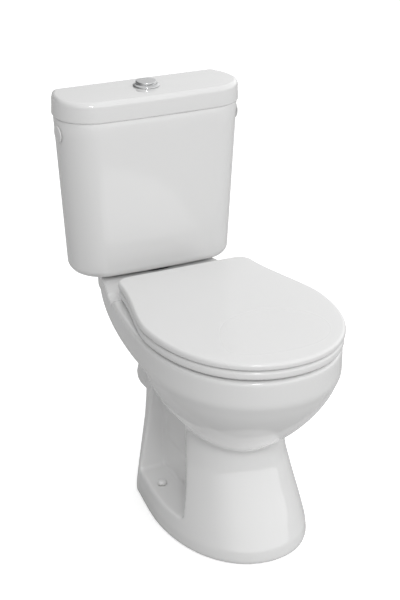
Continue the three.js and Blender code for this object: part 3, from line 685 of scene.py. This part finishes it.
class TOILET_OT_pan(bpy.types.Operator):
    """Casts the pan: bowl, rim, deck, pedestal, trap and outlet in one piece of china"""

    bl_idname = "toilet.pan"
    bl_label = "Pan"

    def execute(self, context):
        china = context.scene.toilet_china
        rim_top = china.rim_top / MM
        rise = [(382, 134), (346, 134), (318, 148), (300, 184), (284, 220), (262, 236)]
        fall = [(262, 236), (238, 220), (222, 194), (200, 180), (170, 180)]
        pan = cut(pedestal(), side_recess(1), side_recess(-1))
        join(pan, rear_column(), bowl_outside(), band_and_deck(rim_top))
        trap = passage(TRAP_RADIUS + TRAP_WALL, [(275, 226), *fall[1:-1], (190, 180)])
        join(pan, trap, outlet(51, 260, 101))
        cut(pan, *foot_hollows(), *bowl_inside(rim_top), *fixing_holes())
        cut(pan, passage(TRAP_RADIUS, rise), passage(TRAP_RADIUS, fall), outlet(43, 204, 100))
        cast(pan, china.grid, china.rounding)
        for height, reach in CREASES:
            melt_crease(pan, height, reach, CREASE_PASSES)
        piece(pan, "pan_china", "china", "china", "pan", angle=80)
        return {"FINISHED"}


# ---------------------------------------------------------------- cistern and its lid


def cistern_plan(share):
    return tank_plan(171 + 19 * share, 8, 137, 13, 62, 7)


class TOILET_OT_cistern(bpy.types.Operator):
    """Shapes the cistern, its rounded foot and the holes for the valves, bolts and water inlets"""

    bl_idname = "toilet.cistern"
    bl_label = "Cistern"

    def execute(self, context):
        china = context.scene.toilet_china
        foot, rim = china.cistern_foot / MM, china.cistern_rim / MM
        floor = foot + 12
        levels = rounded(cistern_plan(0), foot, 18, False, 10)
        top = cistern_plan(1)
        start = levels[-1][0]
        for share in np.linspace(0.1, 1, 10):
            plan = cistern_plan(0) + (top - cistern_plan(0)) * share
            levels.append((start + (rim - 2.5 - start) * share, plan))
        levels += [(rim - 0.8, inset(top, 0.7)), (rim, inset(top, 2.4))]
        shell = loft(levels)
        inner_foot, inner_top = inset(cistern_plan(0.04), 9), inset(top, 9)
        water = loft([
            *rounded(inner_foot, floor, 12, False, 8),
            (rim - 3, inner_top), (rim - 0.8, inset(top, 8.2)), (rim + 1, inset(top, 6)),
        ])
        y = WALL - COUPLING_OUT
        bores = ((31.5, 0), (6, BOLT_SIDE), (6, -BOLT_SIDE), (10.9, FILL_SIDE))
        holes = [rod(radius, foot - 1, floor + 4, x, y) for radius, x in bores]
        inlet = moved(axle(10.5, 200, "X"), y=y, z=INLET_HEIGHT)
        cut(shell, water, *holes, inlet)
        piece(shell, "cistern_china", "china", "china", "cistern", angle=35)
        return {"FINISHED"}


class TOILET_OT_cistern_lid(bpy.types.Operator):
    """Shapes the cistern lid with its overhang, locating skirt and button hole"""

    bl_idname = "toilet.cistern_lid"
    bl_label = "Cistern lid"

    def execute(self, context):
        china = context.scene.toilet_china
        rim, top = 732, china.lid_top / MM
        plan = tank_plan(192.5, 0, 140, 15, 64, 7)
        levels = [
            (rim, inset(plan, 2.2)), (rim + 0.8, inset(plan, 0.9)), (rim + 2.2, inset(plan, 0.2)),
            (rim + 4, plan), (rim + 21, inset(plan, 0.8)),
        ]
        for angle in np.linspace(0, math.pi / 2, 12):
            levels.append((top - 11 + 11 * math.sin(angle), inset(plan, 0.9 + 9 * (1 - math.cos(angle)))))
        lid = loft(levels)
        body_plan = tank_plan(190, 8, 137, 13, 62, 7)
        lip, hollow_plan = inset(body_plan, 11.5), inset(body_plan, 18)
        join(lid, loft([(rim - 9, inset(lip, 1)), (rim - 8, lip), (rim + 1, lip)]))
        hollow = loft([(rim - 10, hollow_plan), (top - 14, hollow_plan), (top - 10, inset(hollow_plan, 3))])
        cut(lid, hollow, rod(25, rim, top + 1, 0, WALL - 64))
        piece(lid, "cistern_lid_china", "china", "cistern_lid", "cistern_lid", angle=35)
        return {"FINISHED"}


# ---------------------------------------------------------------- seat and its lid

SEAT_PLAN = dict(front=679, widest=447, back=218, half=180.5, back_half=143, corner=34, spread=0.1, count=32)
HINGE_HEIGHT = 432


def knuckle(x0, x1, low, high):
    """The eye round the hinge pin and the neck behind the seat or lid."""
    y = WALL - HINGE_OUT
    eye = moved(lying(turned([(0, x0), (7.5, x0), (7.5, x1), (0, x1)]), "X"), y=y, z=HINGE_HEIGHT)
    return [eye, block((x0, WALL - 224, low), (x1, y, high))]


def hinge_bores():
    y = WALL - HINGE_OUT
    spans = ((56, 98.6), (-98.6, -56))
    return [
        moved(lying(turned([(0, a), (3.7, a), (3.7, b), (0, b)]), "X"), y=y, z=HINGE_HEIGHT) for a, b in spans
    ]


class TOILET_OT_seat(bpy.types.Operator):
    """Shapes the seat ring with its dished opening, hinge knuckles and bumpers"""

    bl_idname = "toilet.seat"
    bl_label = "Seat"

    def execute(self, context):
        sizes = context.scene.toilet_seat
        foot, top = sizes.seat_foot / MM, sizes.seat_top / MM
        outer = egg(**SEAT_PLAN)
        hole = egg(628, 447, 304, 108, 84, 46, count=32)
        levels = [*rounded(inset(outer, 0), foot, 5, False, 6)]
        for angle in np.linspace(0, math.pi / 2, 9):
            levels.append((top - 7 + 7 * math.sin(angle), inset(outer, 9 * (1 - math.cos(angle)))))
        seat = loft(levels)
        steps = (
            (foot - 1, 3), (foot + 0.6, 1), (foot + 2.5, 0), (top - 9, 0), (top - 5.5, 1.2), (top - 2.6, 4),
            (top - 1, 7.5), (top - 0.1, 12), (top + 1, 16),
        )
        opening = [(z, inset(hole, -spread) if spread else hole) for z, spread in steps]
        cut(seat, loft(opening))
        knuckles = knuckle(84, 98.5, foot + 6, HINGE_HEIGHT) + knuckle(-98.5, -84, foot + 6, HINGE_HEIGHT)
        join(seat, *knuckles)
        cut(seat, *hinge_bores())
        piece(seat, "seat_ring", "seat_plastic", "seat", "seat", angle=32)
        for end, x, out in (("rear", 124, 290), ("front", 118, 572)):
            for name, side in SIDES:
                pad = soften(rod(7, 411 + GAP, foot - GAP, side * x, WALL - out, 48), 0.8)
                node = f"seat_bumper_{end}_{name}"
                piece(pad, f"{node}_pad", "clear_rubber", "seat", node)
        return {"FINISHED"}


class TOILET_OT_seat_lid(bpy.types.Operator):
    """Shapes the domed seat lid, its hinge knuckles and bumpers"""

    bl_idname = "toilet.seat_lid"
    bl_label = "Seat lid"

    def execute(self, context):
        sizes = context.scene.toilet_seat
        foot, top = sizes.lid_foot / MM, sizes.lid_top / MM
        outer = egg(**{**SEAT_PLAN, "front": 681, "half": 182.5, "back": 217, "back_half": 144})
        levels = [*rounded(outer, foot, 3, False, 5)]
        for angle in np.linspace(0, math.pi / 2, 9):
            levels.append((top - 9 + 6.5 * math.sin(angle), inset(outer, 6 * (1 - math.cos(angle)))))
        rim = levels[-1][1]
        for share in np.linspace(0.08, 1, 12):
            rise = 2.5 * (1 - (1 - share) ** 2)
            levels.append((top - 2.5 + rise, shrunk(rim, 110 * share)))
        lid = loft(levels)
        ends = ((56.5, 71), (-71, -56.5))
        knuckles = [part for a, b in ends for part in knuckle(a, b, HINGE_HEIGHT + 4, HINGE_HEIGHT + 7)]
        combine(lid, knuckles, "UNION", "EXACT")
        combine(lid, hinge_bores(), "DIFFERENCE", "EXACT")
        piece(lid, "seat_lid_cover", "seat_plastic", "seat_lid", "seat_lid", angle=32)
        for name, side in SIDES:
            pad = soften(rod(5, 433 + GAP, foot - GAP, side * 116, WALL - 572, 48), 0.5)
            piece(pad, f"lid_bumper_{name}_pad", "clear_rubber", "seat_lid", f"lid_bumper_{name}")
        return {"FINISHED"}


class TOILET_OT_hinges(bpy.types.Operator):
    """Makes the chromed hinge posts, their pins, and the studs and sleeves that clamp them"""

    bl_idname = "toilet.hinges"
    bl_label = "Seat hinges"

    def execute(self, context):
        for name, side in SIDES:
            x, y = side * HINGE_SIDE, WALL - HINGE_OUT
            foot = HINGE_FLOOR + GAP
            post = block((-6, -7.5, foot), (6, 7.5, HINGE_HEIGHT))
            eye = moved(axle(7.5, 6, "X"), z=HINGE_HEIGHT)
            join(post, eye, block((-10, -11, foot), (10, 11, foot + 3.7)))
            bore = moved(axle(3.7, 7, "X"), z=HINGE_HEIGHT)
            cut(post, bore, rod(3.3, foot - 1, foot + 10))
            soften(moved(post, x, y), 0.7, 3)
            piece(post, f"hinge_post_{name}_chromed", "chrome", "china", f"hinge_post_{name}")
            pin = axle(3.5, 21, "X")
            soften(moved(pin, x, y, HINGE_HEIGHT), 0.5)
            piece(pin, f"hinge_pin_{name}_turned", "steel", "china", f"hinge_pin_{name}")
            stud = soften(rod(3, HINGE_FLOOR - 34, HINGE_FLOOR + 9, x, y, 48), 0.5)
            piece(stud, f"hinge_stud_{name}_turned", "steel", "china", f"hinge_stud_{name}")
            sleeve = moved(turned(ring_profile(3.4, 7.6, HINGE_FLOOR - 31, HINGE_FLOOR - 1)), x, y)
            node = f"hinge_sleeve_{name}"
            piece(soften(sleeve), f"{node}_moulded", "black_rubber", "china", node)
        return {"FINISHED"}


# ---------------------------------------------------------------- buttons, plugs and caps

BUTTON_SPLIT = 11


class TOILET_OT_buttons(bpy.types.Operator):
    """Makes the chromed bezel and the full and half flush buttons"""

    bl_idname = "toilet.buttons"
    bl_label = "Push buttons"

    def execute(self, context):
        fittings = context.scene.toilet_fittings
        radius, top = fittings.button_radius / MM, fittings.button_top / MM
        y = WALL - 64
        inner, seat = radius + GAP, context.scene.toilet_china.lid_top / MM + GAP
        bezel = turned([
            (inner, 757), (24, 757), (24, seat), (26, seat), (26.5, seat + 0.5), (26.5, seat + 1.6),
            (26.1, seat + 2.4), (25.2, seat + 3.2), (24, seat + 3.9), (22.9, seat + 4.6),
            (22.2, seat + 4.9), (21.6, seat + 4.8), (inner, seat + 4.4), (inner, 757),
        ], sides=128)
        piece(moved(bezel, y=y), "button_bezel_ring", "chrome", "cistern_lid", "button_bezel", angle=40)
        nut = moved(turned(ring_profile(24 + GAP, 31, 753, seat - GAP - 10 - GAP), sides=8), y=y)
        piece(soften(nut, 0.6), "bezel_nut_moulded", "grey_plastic", "cistern_lid", "bezel_nut")
        for node, low, high in (
            ("full_flush_button", -30, BUTTON_SPLIT - 0.4),
            ("half_flush_button", BUTTON_SPLIT + 0.4, 30),
        ):
            disc = turned([
                (0, top - 14), (radius, top - 14), (radius, top - 2), (radius - 0.3, top - 1.1),
                (radius - 0.8, top - 0.5), (radius - 1.6, top - 0.12), (radius - 2.6, top), (0, top - 0.3),
            ], sides=128)
            combine(disc, [block((-30, low, 700), (30, high, 800))], "INTERSECT")
            soften(moved(disc, y=y), 0.35, 3, 50)
            piece(disc, f"{node}_cap", "chrome", node, node, angle=40)
        return {"FINISHED"}


class TOILET_OT_plugs_and_caps(bpy.types.Operator):
    """Makes the blanking plugs of the side inlets and the caps, bushes and screws of the floor fixings"""

    bl_idname = "toilet.plugs_and_caps"
    bl_label = "Plugs and caps"

    def execute(self, context):
        lean = math.atan2(FLARE, FLARE_RISE)
        half = 171 + FLARE * (INLET_HEIGHT - CISTERN_FOOT) / FLARE_RISE
        for name, side in SIDES:
            plug = turned([
                (0, -14), (8, -14), (9.3, -12), (9.3, GAP), (16.6, GAP), (17, 0.7), (17, 1.9), (16.6, 2.5),
                (15.6, 2.9), (13, 3.1), (6, 3.35), (0, 3.4),
            ], sides=96)
            turn = Matrix.Rotation(side * (math.pi / 2 + lean), 4, "Y")
            moved(plug, side * (half + GAP), WALL - COUPLING_OUT, INLET_HEIGHT, turn)
            piece(plug, f"blanking_plug_{name}_cap", "seat_plastic", "china", f"blanking_plug_{name}")
            x, y = side * FIXING_SIDE, WALL - FIXING_OUT
            seat = LEDGE_TOP + GAP
            bush = [
                (3.3, 39), (5.7, 39), (5.7, seat), (9, seat), (9, seat + 1.5), (3.3, seat + 1.5), (3.3, 39)
            ]
            bush = soften(moved(turned(bush), x, y), 0.3)
            piece(bush, f"floor_bush_{name}_moulded", "white_plastic", "china", f"floor_bush_{name}")
            head = seat + 1.5 + GAP
            screw = [(0, 0.5), (2, 3), (3, 6), (3, head), (6, head), (5, head + 2.5), (0, head + 3)]
            screw = soften(moved(turned(screw), x, y), 0.3)
            piece(screw, f"floor_screw_{name}_turned", "steel", "china", f"floor_screw_{name}")
            cap = [
                (6.4, head), (9, head), (8.9, head + 1.6), (8.5, head + 3.2), (7.4, head + 4.6),
                (5.6, head + 5.6), (3, head + 6.2), (0, head + 6.4), (0, head + 4.9), (5.4, head + 4),
                (6.4, head + 2.5), (6.4, head),
            ]
            cap = moved(turned(cap), x, y)
            piece(cap, f"screw_cap_{name}_moulded", "seat_plastic", "china", f"screw_cap_{name}")
        return {"FINISHED"}


# ---------------------------------------------------------------- inside the cistern

CISTERN_FLOOR = 421
VALVE_SEAT = 430
TOWER_TOP = 600
ROCKER_HEIGHT = 612
LEVER_HEIGHT = 642


class TOILET_OT_flush_valve(bpy.types.Operator):
    """Makes the flush valve: caged tower, lift tube, seals, nut, coupling gasket, rocker and push rods"""

    bl_idname = "toilet.flush_valve"
    bl_label = "Flush valve"

    def execute(self, context):
        y = WALL - COUPLING_OUT
        flange = CISTERN_FLOOR + 3 + GAP
        tower = turned([
            (24, 394), (30, 394), (30, flange), (42, flange), (42, flange + 4), (37, flange + 4),
            (37, TOWER_TOP), (11.6, TOWER_TOP), (11.6, TOWER_TOP - 3), (34, TOWER_TOP - 3),
            (34, flange + 4), (27, flange + 4),
            (27, VALVE_SEAT), (24, VALVE_SEAT), (24, 394),
        ])
        sides = ((21, 25), (-25, -21))
        ears = [block((-4, low, TOWER_TOP - 1), (8, high, ROCKER_HEIGHT + 7)) for low, high in sides]
        join(tower, *ears)
        pivot = axle(2.8, 30, "Y")
        windows = []
        for turn in (math.pi / 4, 3 * math.pi / 4):
            window = block((-50, -15, VALVE_SEAT + 5), (50, 15, VALVE_SEAT + 51))
            windows.append(moved(window, turn=Matrix.Rotation(turn, 4, "Z")))
        guide = rod(2.5, TOWER_TOP - 5, TOWER_TOP + 1, -8, 22.5)
        cut(tower, *windows, guide, moved(pivot, x=2, z=ROCKER_HEIGHT))
        soften(moved(tower, y=y), 0.4)
        piece(tower, "flush_valve_tower", "white_plastic", "china", "flush_valve_body")

        plate = VALVE_SEAT + 3 + 2 * GAP
        pipe = turned([(0, plate), (28, plate), (28, plate + 4), (11, plate + 6), (11, 645), (0, 645)])
        low = ROCKER_HEIGHT + 3.6
        join(pipe, block((-28, -20, low), (-20, 20, low + 3.4)), block((-26, -7, low), (-6, 7, low + 3.4)))
        cut(pipe, rod(8.5, plate - 1, 646))
        soften(moved(pipe, y=y), 0.4)
        piece(pipe, "lift_tube_moulded", "grey_plastic", "lift_tube", "lift_tube")

        rocker = block((15, -20, 609), (20.5, 20, 615))
        arms = [block((-26, low_y, 609), (16, high_y, 615)) for low_y, high_y in ((17, 20), (-20, -17))]
        stubs = axle(2.5, 25, "Y")
        gap = block((-10, -17, 600), (15, 17, 620))
        join(rocker, *arms, moved(stubs, x=2, z=ROCKER_HEIGHT))
        cut(rocker, gap)
        soften(moved(rocker, y=y), 0.5)
        piece(rocker, "rocker_moulded", "grey_plastic", "rocker", "rocker")

        rings = (
            ("valve_seal", "black_rubber", "lift_tube", 22, 29, VALVE_SEAT + GAP, VALVE_SEAT + 3 + GAP),
            ("flush_valve_washer", "black_rubber", "china", 30.4, 41, CISTERN_FLOOR + GAP, CISTERN_FLOOR + 3),
            ("flush_valve_nut", "grey_plastic", "china", 30.4, 40, 397.5, CISTERN_FOOT - GAP),
            ("coupling_gasket", "foam", "china", 40.4, 47, 389 + GAP, CISTERN_FOOT - GAP),
        )
        for node, slot, body, inner, outer, low_z, high_z in rings:
            made = soften(moved(turned(ring_profile(inner, outer, low_z, high_z)), y=y), 0.5)
            piece(made, f"{node}_ring", slot, body, node)
        for node, x, out, foot in (("full_flush", 17, 66, low), ("half_flush", -8, 47.5, TOWER_TOP - 12)):
            made = soften(rod(1.8, foot, 770 - GAP, x, WALL - out, 32), 0.3)
            piece(made, f"{node}_rod_moulded", "white_plastic", f"{node}_button", f"{node}_rod")
        return {"FINISHED"}


class TOILET_OT_fill_valve(bpy.types.Operator):
    """Makes the fill valve with its washer, nut, float cup, link, lever and pin"""

    bl_idname = "toilet.fill_valve"
    bl_label = "Fill valve"

    def execute(self, context):
        x, y = FILL_SIDE, WALL - COUPLING_OUT
        flange = CISTERN_FLOOR + 3 + GAP
        body = turned([
            (6, 364), (10.2, 364), (10.2, flange), (16, flange), (16, flange + 5), (9, flange + 5),
            (9, 606), (15, 610),
            (15, 632), (0, 632), (0, 600), (6, 600), (6, 364),
        ])
        ears = [block((-5, low, 631), (5, high, LEVER_HEIGHT + 4)) for low, high in ((4.2, 7), (-7, -4.2))]
        join(body, *ears)
        bore = axle(1.8, 10, "Y")
        cut(body, moved(bore, z=LEVER_HEIGHT), block((-3, 0, 445), (3, 12, 455)))
        soften(moved(body, x, y), 0.4)
        piece(body, "fill_valve_column", "white_plastic", "china", "fill_valve_body")
        cup = [
            (10, 540), (23, 540), (24, 541), (24, 590), (22, 590), (22, 542.5), (12, 542.5), (12, 590),
            (10, 590), (10, 540),
        ]
        cup = soften(moved(turned(cup), x, y), 0.5)
        piece(cup, "float_cup_moulded", "grey_plastic", "float", "float_cup")
        link = rod(1.5, 590 + GAP, LEVER_HEIGHT + 5, -22)
        knob = rod(2.6, LEVER_HEIGHT + 4, LEVER_HEIGHT + 6, -22)
        join(link, knob, block((-25, -4, 590 + GAP), (-13, 4, 593)))
        piece(soften(moved(link, x, y), 0.3), "float_link_moulded", "white_plastic", "float", "float_link")
        lever = block((-31, -3.9, LEVER_HEIGHT - 2.4), (4, 3.9, LEVER_HEIGHT + 2.4))
        bore = axle(1.8, 10, "Y")
        cut(lever, block((-28, -2, 600), (-18.5, 2, 700)), moved(bore, z=LEVER_HEIGHT))
        soften(moved(lever, x, y), 0.5)
        piece(lever, "float_lever_moulded", "white_plastic", "float_lever", "float_lever")
        pin = lying(turned([(0, -7.5), (1.5, -7.5), (1.5, 7.5), (0, 7.5)], sides=32), "Y")
        piece(soften(moved(pin, x, y, LEVER_HEIGHT), 0.2), "lever_pin_turned", "steel", "china", "lever_pin")
        washer = moved(turned(ring_profile(10.6, 15, CISTERN_FLOOR + GAP, CISTERN_FLOOR + 3)), x, y)
        piece(soften(washer, 0.3), "fill_valve_washer_ring", "black_rubber", "china", "fill_valve_washer")
        nut = cut(moved(turned([(0, 394), (17, 394), (17, 408.7), (0, 408.7)], sides=8)), rod(10.6, 390, 412))
        soften(moved(nut, x, y), 0.6)
        piece(nut, "fill_valve_nut_moulded", "white_plastic", "china", "fill_valve_nut")
        return {"FINISHED"}


class TOILET_OT_cistern_bolts(bpy.types.Operator):
    """Makes the two bolts that hold the cistern to the deck, with their seals, washers and wing nuts"""

    bl_idname = "toilet.cistern_bolts"
    bl_label = "Cistern bolts"

    def execute(self, context):
        seat = CISTERN_FLOOR + 6 + GAP
        washer = DECK_UNDERSIDE - 3
        top = washer - GAP
        for name, side in SIDES:
            x, y = side * BOLT_SIDE, WALL - COUPLING_OUT
            bolt = [
                (0, top - 16), (4, top - 16), (4, seat), (9, seat), (9, seat + 3.4), (7, seat + 5),
                (0, seat + 5),
            ]
            seal = [(4.3, CISTERN_FLOOR + GAP), (12, CISTERN_FLOOR + GAP), (8, seat - GAP), (4.3, seat - GAP)]
            rings = (
                ("cistern_bolt", "steel", bolt),
                ("cistern_bolt_seal", "black_rubber", [*seal, seal[0]]),
                ("cistern_bolt_washer", "black_rubber", ring_profile(4.3, 12, washer, DECK_UNDERSIDE - GAP)),
            )
            for node, slot, profile in rings:
                made = soften(moved(turned(profile), x, y), 0.3)
                piece(made, f"{node}_{name}_turned", slot, "china", f"{node}_{name}")
            nut = rod(8, top - 9, top)
            join(nut, block((-17, -2, top - 10), (17, 2, top - 2)))
            cut(nut, rod(4.3, top - 20, top + 1))
            soften(moved(nut, x, y), 0.7, 3)
            piece(nut, f"wing_nut_{name}_moulded", "white_plastic", "china", f"cistern_wing_nut_{name}")
        return {"FINISHED"}


# ---------------------------------------------------------------- stage


FLOOR_REACH = 40000
FLOOR_GLOW = 0.35
BRIGHT_WAY = (0.75, -0.66, 0)
KEY_PLACE = (-0.7, -2.0, 2.0)
KEY_TARGET = (0, 0.1, 0.6)
CAMERA_PLACE = (-1.1438, -2.2841, 1.5578)
CAMERA_DIP = 23.927
CAMERA_TURN = 26.219


def softbox(name, place, target, width, height, power):
    """An area light aimed at a point."""
    light = bpy.data.lights.new(name, "AREA")
    light.shape = "RECTANGLE"
    light.size, light.size_y = width, height
    light.energy = power
    holder = bpy.data.objects.new(name, light)
    holder.location = place
    holder.rotation_euler = (Vector(target) - Vector(place)).to_track_quat("-Z", "Y").to_euler()
    bpy.context.scene.collection.objects.link(holder)
    return holder


def light_tent(stage):
    """A world that is bright overhead and at front right, and dim at back left."""
    world = bpy.data.worlds.new("light_tent")
    world.use_nodes = True
    nodes, links = world.node_tree.nodes, world.node_tree.links
    place = added(nodes, "TexCoord")
    aim = added(nodes, "VectorMath")
    aim.operation = "DOT_PRODUCT"
    aim.inputs[1].default_value = BRIGHT_WAY
    links.new(place.outputs["Generated"], aim.inputs[0])
    walls = added(
        nodes, "MapRange", From_Min=-0.85, From_Max=0.1, To_Min=stage.shaded_side, To_Max=stage.bright_side
    )
    links.new(aim.outputs["Value"], walls.inputs["Value"])
    axes = added(nodes, "SeparateXYZ")
    links.new(place.outputs["Generated"], axes.inputs["Vector"])
    rise = added(nodes, "MapRange", From_Min=0.3, From_Max=0.9)
    rise.interpolation_type = "SMOOTHSTEP"
    links.new(axes.outputs["Z"], rise.inputs["Value"])
    level = added(nodes, "Mix", B=stage.overhead)
    links.new(rise.outputs["Result"], level.inputs["Factor"])
    links.new(walls.outputs["Result"], level.inputs["A"])
    links.new(level.outputs["Result"], nodes["Background"].inputs["Strength"])
    nodes["Background"].inputs["Color"].default_value = (1, 1, 1, 1)
    return world


class TOILET_OT_stage(bpy.types.Operator):
    """Lays the pale studio floor and sets the lights and the camera"""

    bl_idname = "toilet.stage"
    bl_label = "Stage"

    def execute(self, context):
        scene = context.scene
        stage = scene.toilet_stage
        floors = (
            ("studio_floor", stage.floor_tone, -0.4, FLOOR_GLOW, True),
            ("bounce_floor", stage.bounce_tone, -0.6, 0, False),
        )
        for name, tone, top, glow_strength, seen in floors:
            floor = block((-FLOOR_REACH, -FLOOR_REACH, top - 20), (FLOOR_REACH, FLOOR_REACH, top))
            floor.name = name
            floor.data.materials.append(surface_material(name, tone, 0.8, 40, 0.05, spread=0.004))
            glow = principled(floor.data.materials[0]).inputs
            glow["Emission Color"].default_value = (1, 1, 1, 1)
            glow["Emission Strength"].default_value = glow_strength
            floor.visible_camera = seen
            floor.visible_diffuse = floor.visible_glossy = not seen
            floor.visible_shadow = False
        scene.world = light_tent(stage)
        scene.view_settings.view_transform = "Standard"
        softbox("high_strip", KEY_PLACE, KEY_TARGET, 0.45, 0.3, stage.strip)
        camera = bpy.data.objects.new("camera", bpy.data.cameras.new("camera"))
        camera.data.lens = stage.lens
        camera.data.sensor_width = 36
        camera.location = CAMERA_PLACE
        camera.rotation_euler = (math.radians(90 - CAMERA_DIP), 0, math.radians(-CAMERA_TURN))
        scene.collection.objects.link(camera)
        scene.camera = camera
        return {"FINISHED"}


# ---------------------------------------------------------------- add-on

OPERATORS = (
    TOILET_OT_stage,
    TOILET_OT_pan,
    TOILET_OT_cistern,
    TOILET_OT_cistern_lid,
    TOILET_OT_seat,
    TOILET_OT_seat_lid,
    TOILET_OT_hinges,
    TOILET_OT_buttons,
    TOILET_OT_plugs_and_caps,
    TOILET_OT_flush_valve,
    TOILET_OT_fill_valve,
    TOILET_OT_cistern_bolts,
)
SETTINGS = {
    "toilet_china": ChinaSettings,
    "toilet_seat": SeatSettings,
    "toilet_fittings": FittingSettings,
    "toilet_stage": StageSettings,
}


class TOILET_PT_pieces(bpy.types.Panel):
    """Lists the settings and the pieces of the toilet"""

    bl_idname = "TOILET_PT_pieces"
    bl_label = "Toilet"
    bl_space_type = "VIEW_3D"
    bl_region_type = "UI"
    bl_category = "Toilet"

    def draw(self, context):
        for holder, settings in SETTINGS.items():
            box = self.layout.box()
            for field in settings.__annotations__:
                box.prop(getattr(context.scene, holder), field)
        for operator in OPERATORS:
            self.layout.operator(operator.bl_idname)


def register():
    for settings in SETTINGS.values():
        bpy.utils.register_class(settings)
    for holder, settings in SETTINGS.items():
        setattr(bpy.types.Scene, holder, PointerProperty(type=settings))
    for operator in OPERATORS:
        bpy.utils.register_class(operator)
    bpy.utils.register_class(TOILET_PT_pieces)


def unregister():
    bpy.utils.unregister_class(TOILET_PT_pieces)
    for operator in reversed(OPERATORS):
        bpy.utils.unregister_class(operator)
    for holder in SETTINGS:
        delattr(bpy.types.Scene, holder)
    for settings in SETTINGS.values():
        bpy.utils.unregister_class(settings)


def main():
    register()
    for operator in OPERATORS:
        group, name = operator.bl_idname.split(".")
        getattr(getattr(bpy.ops, group), name)()


if __name__ == "__main__":
    main()
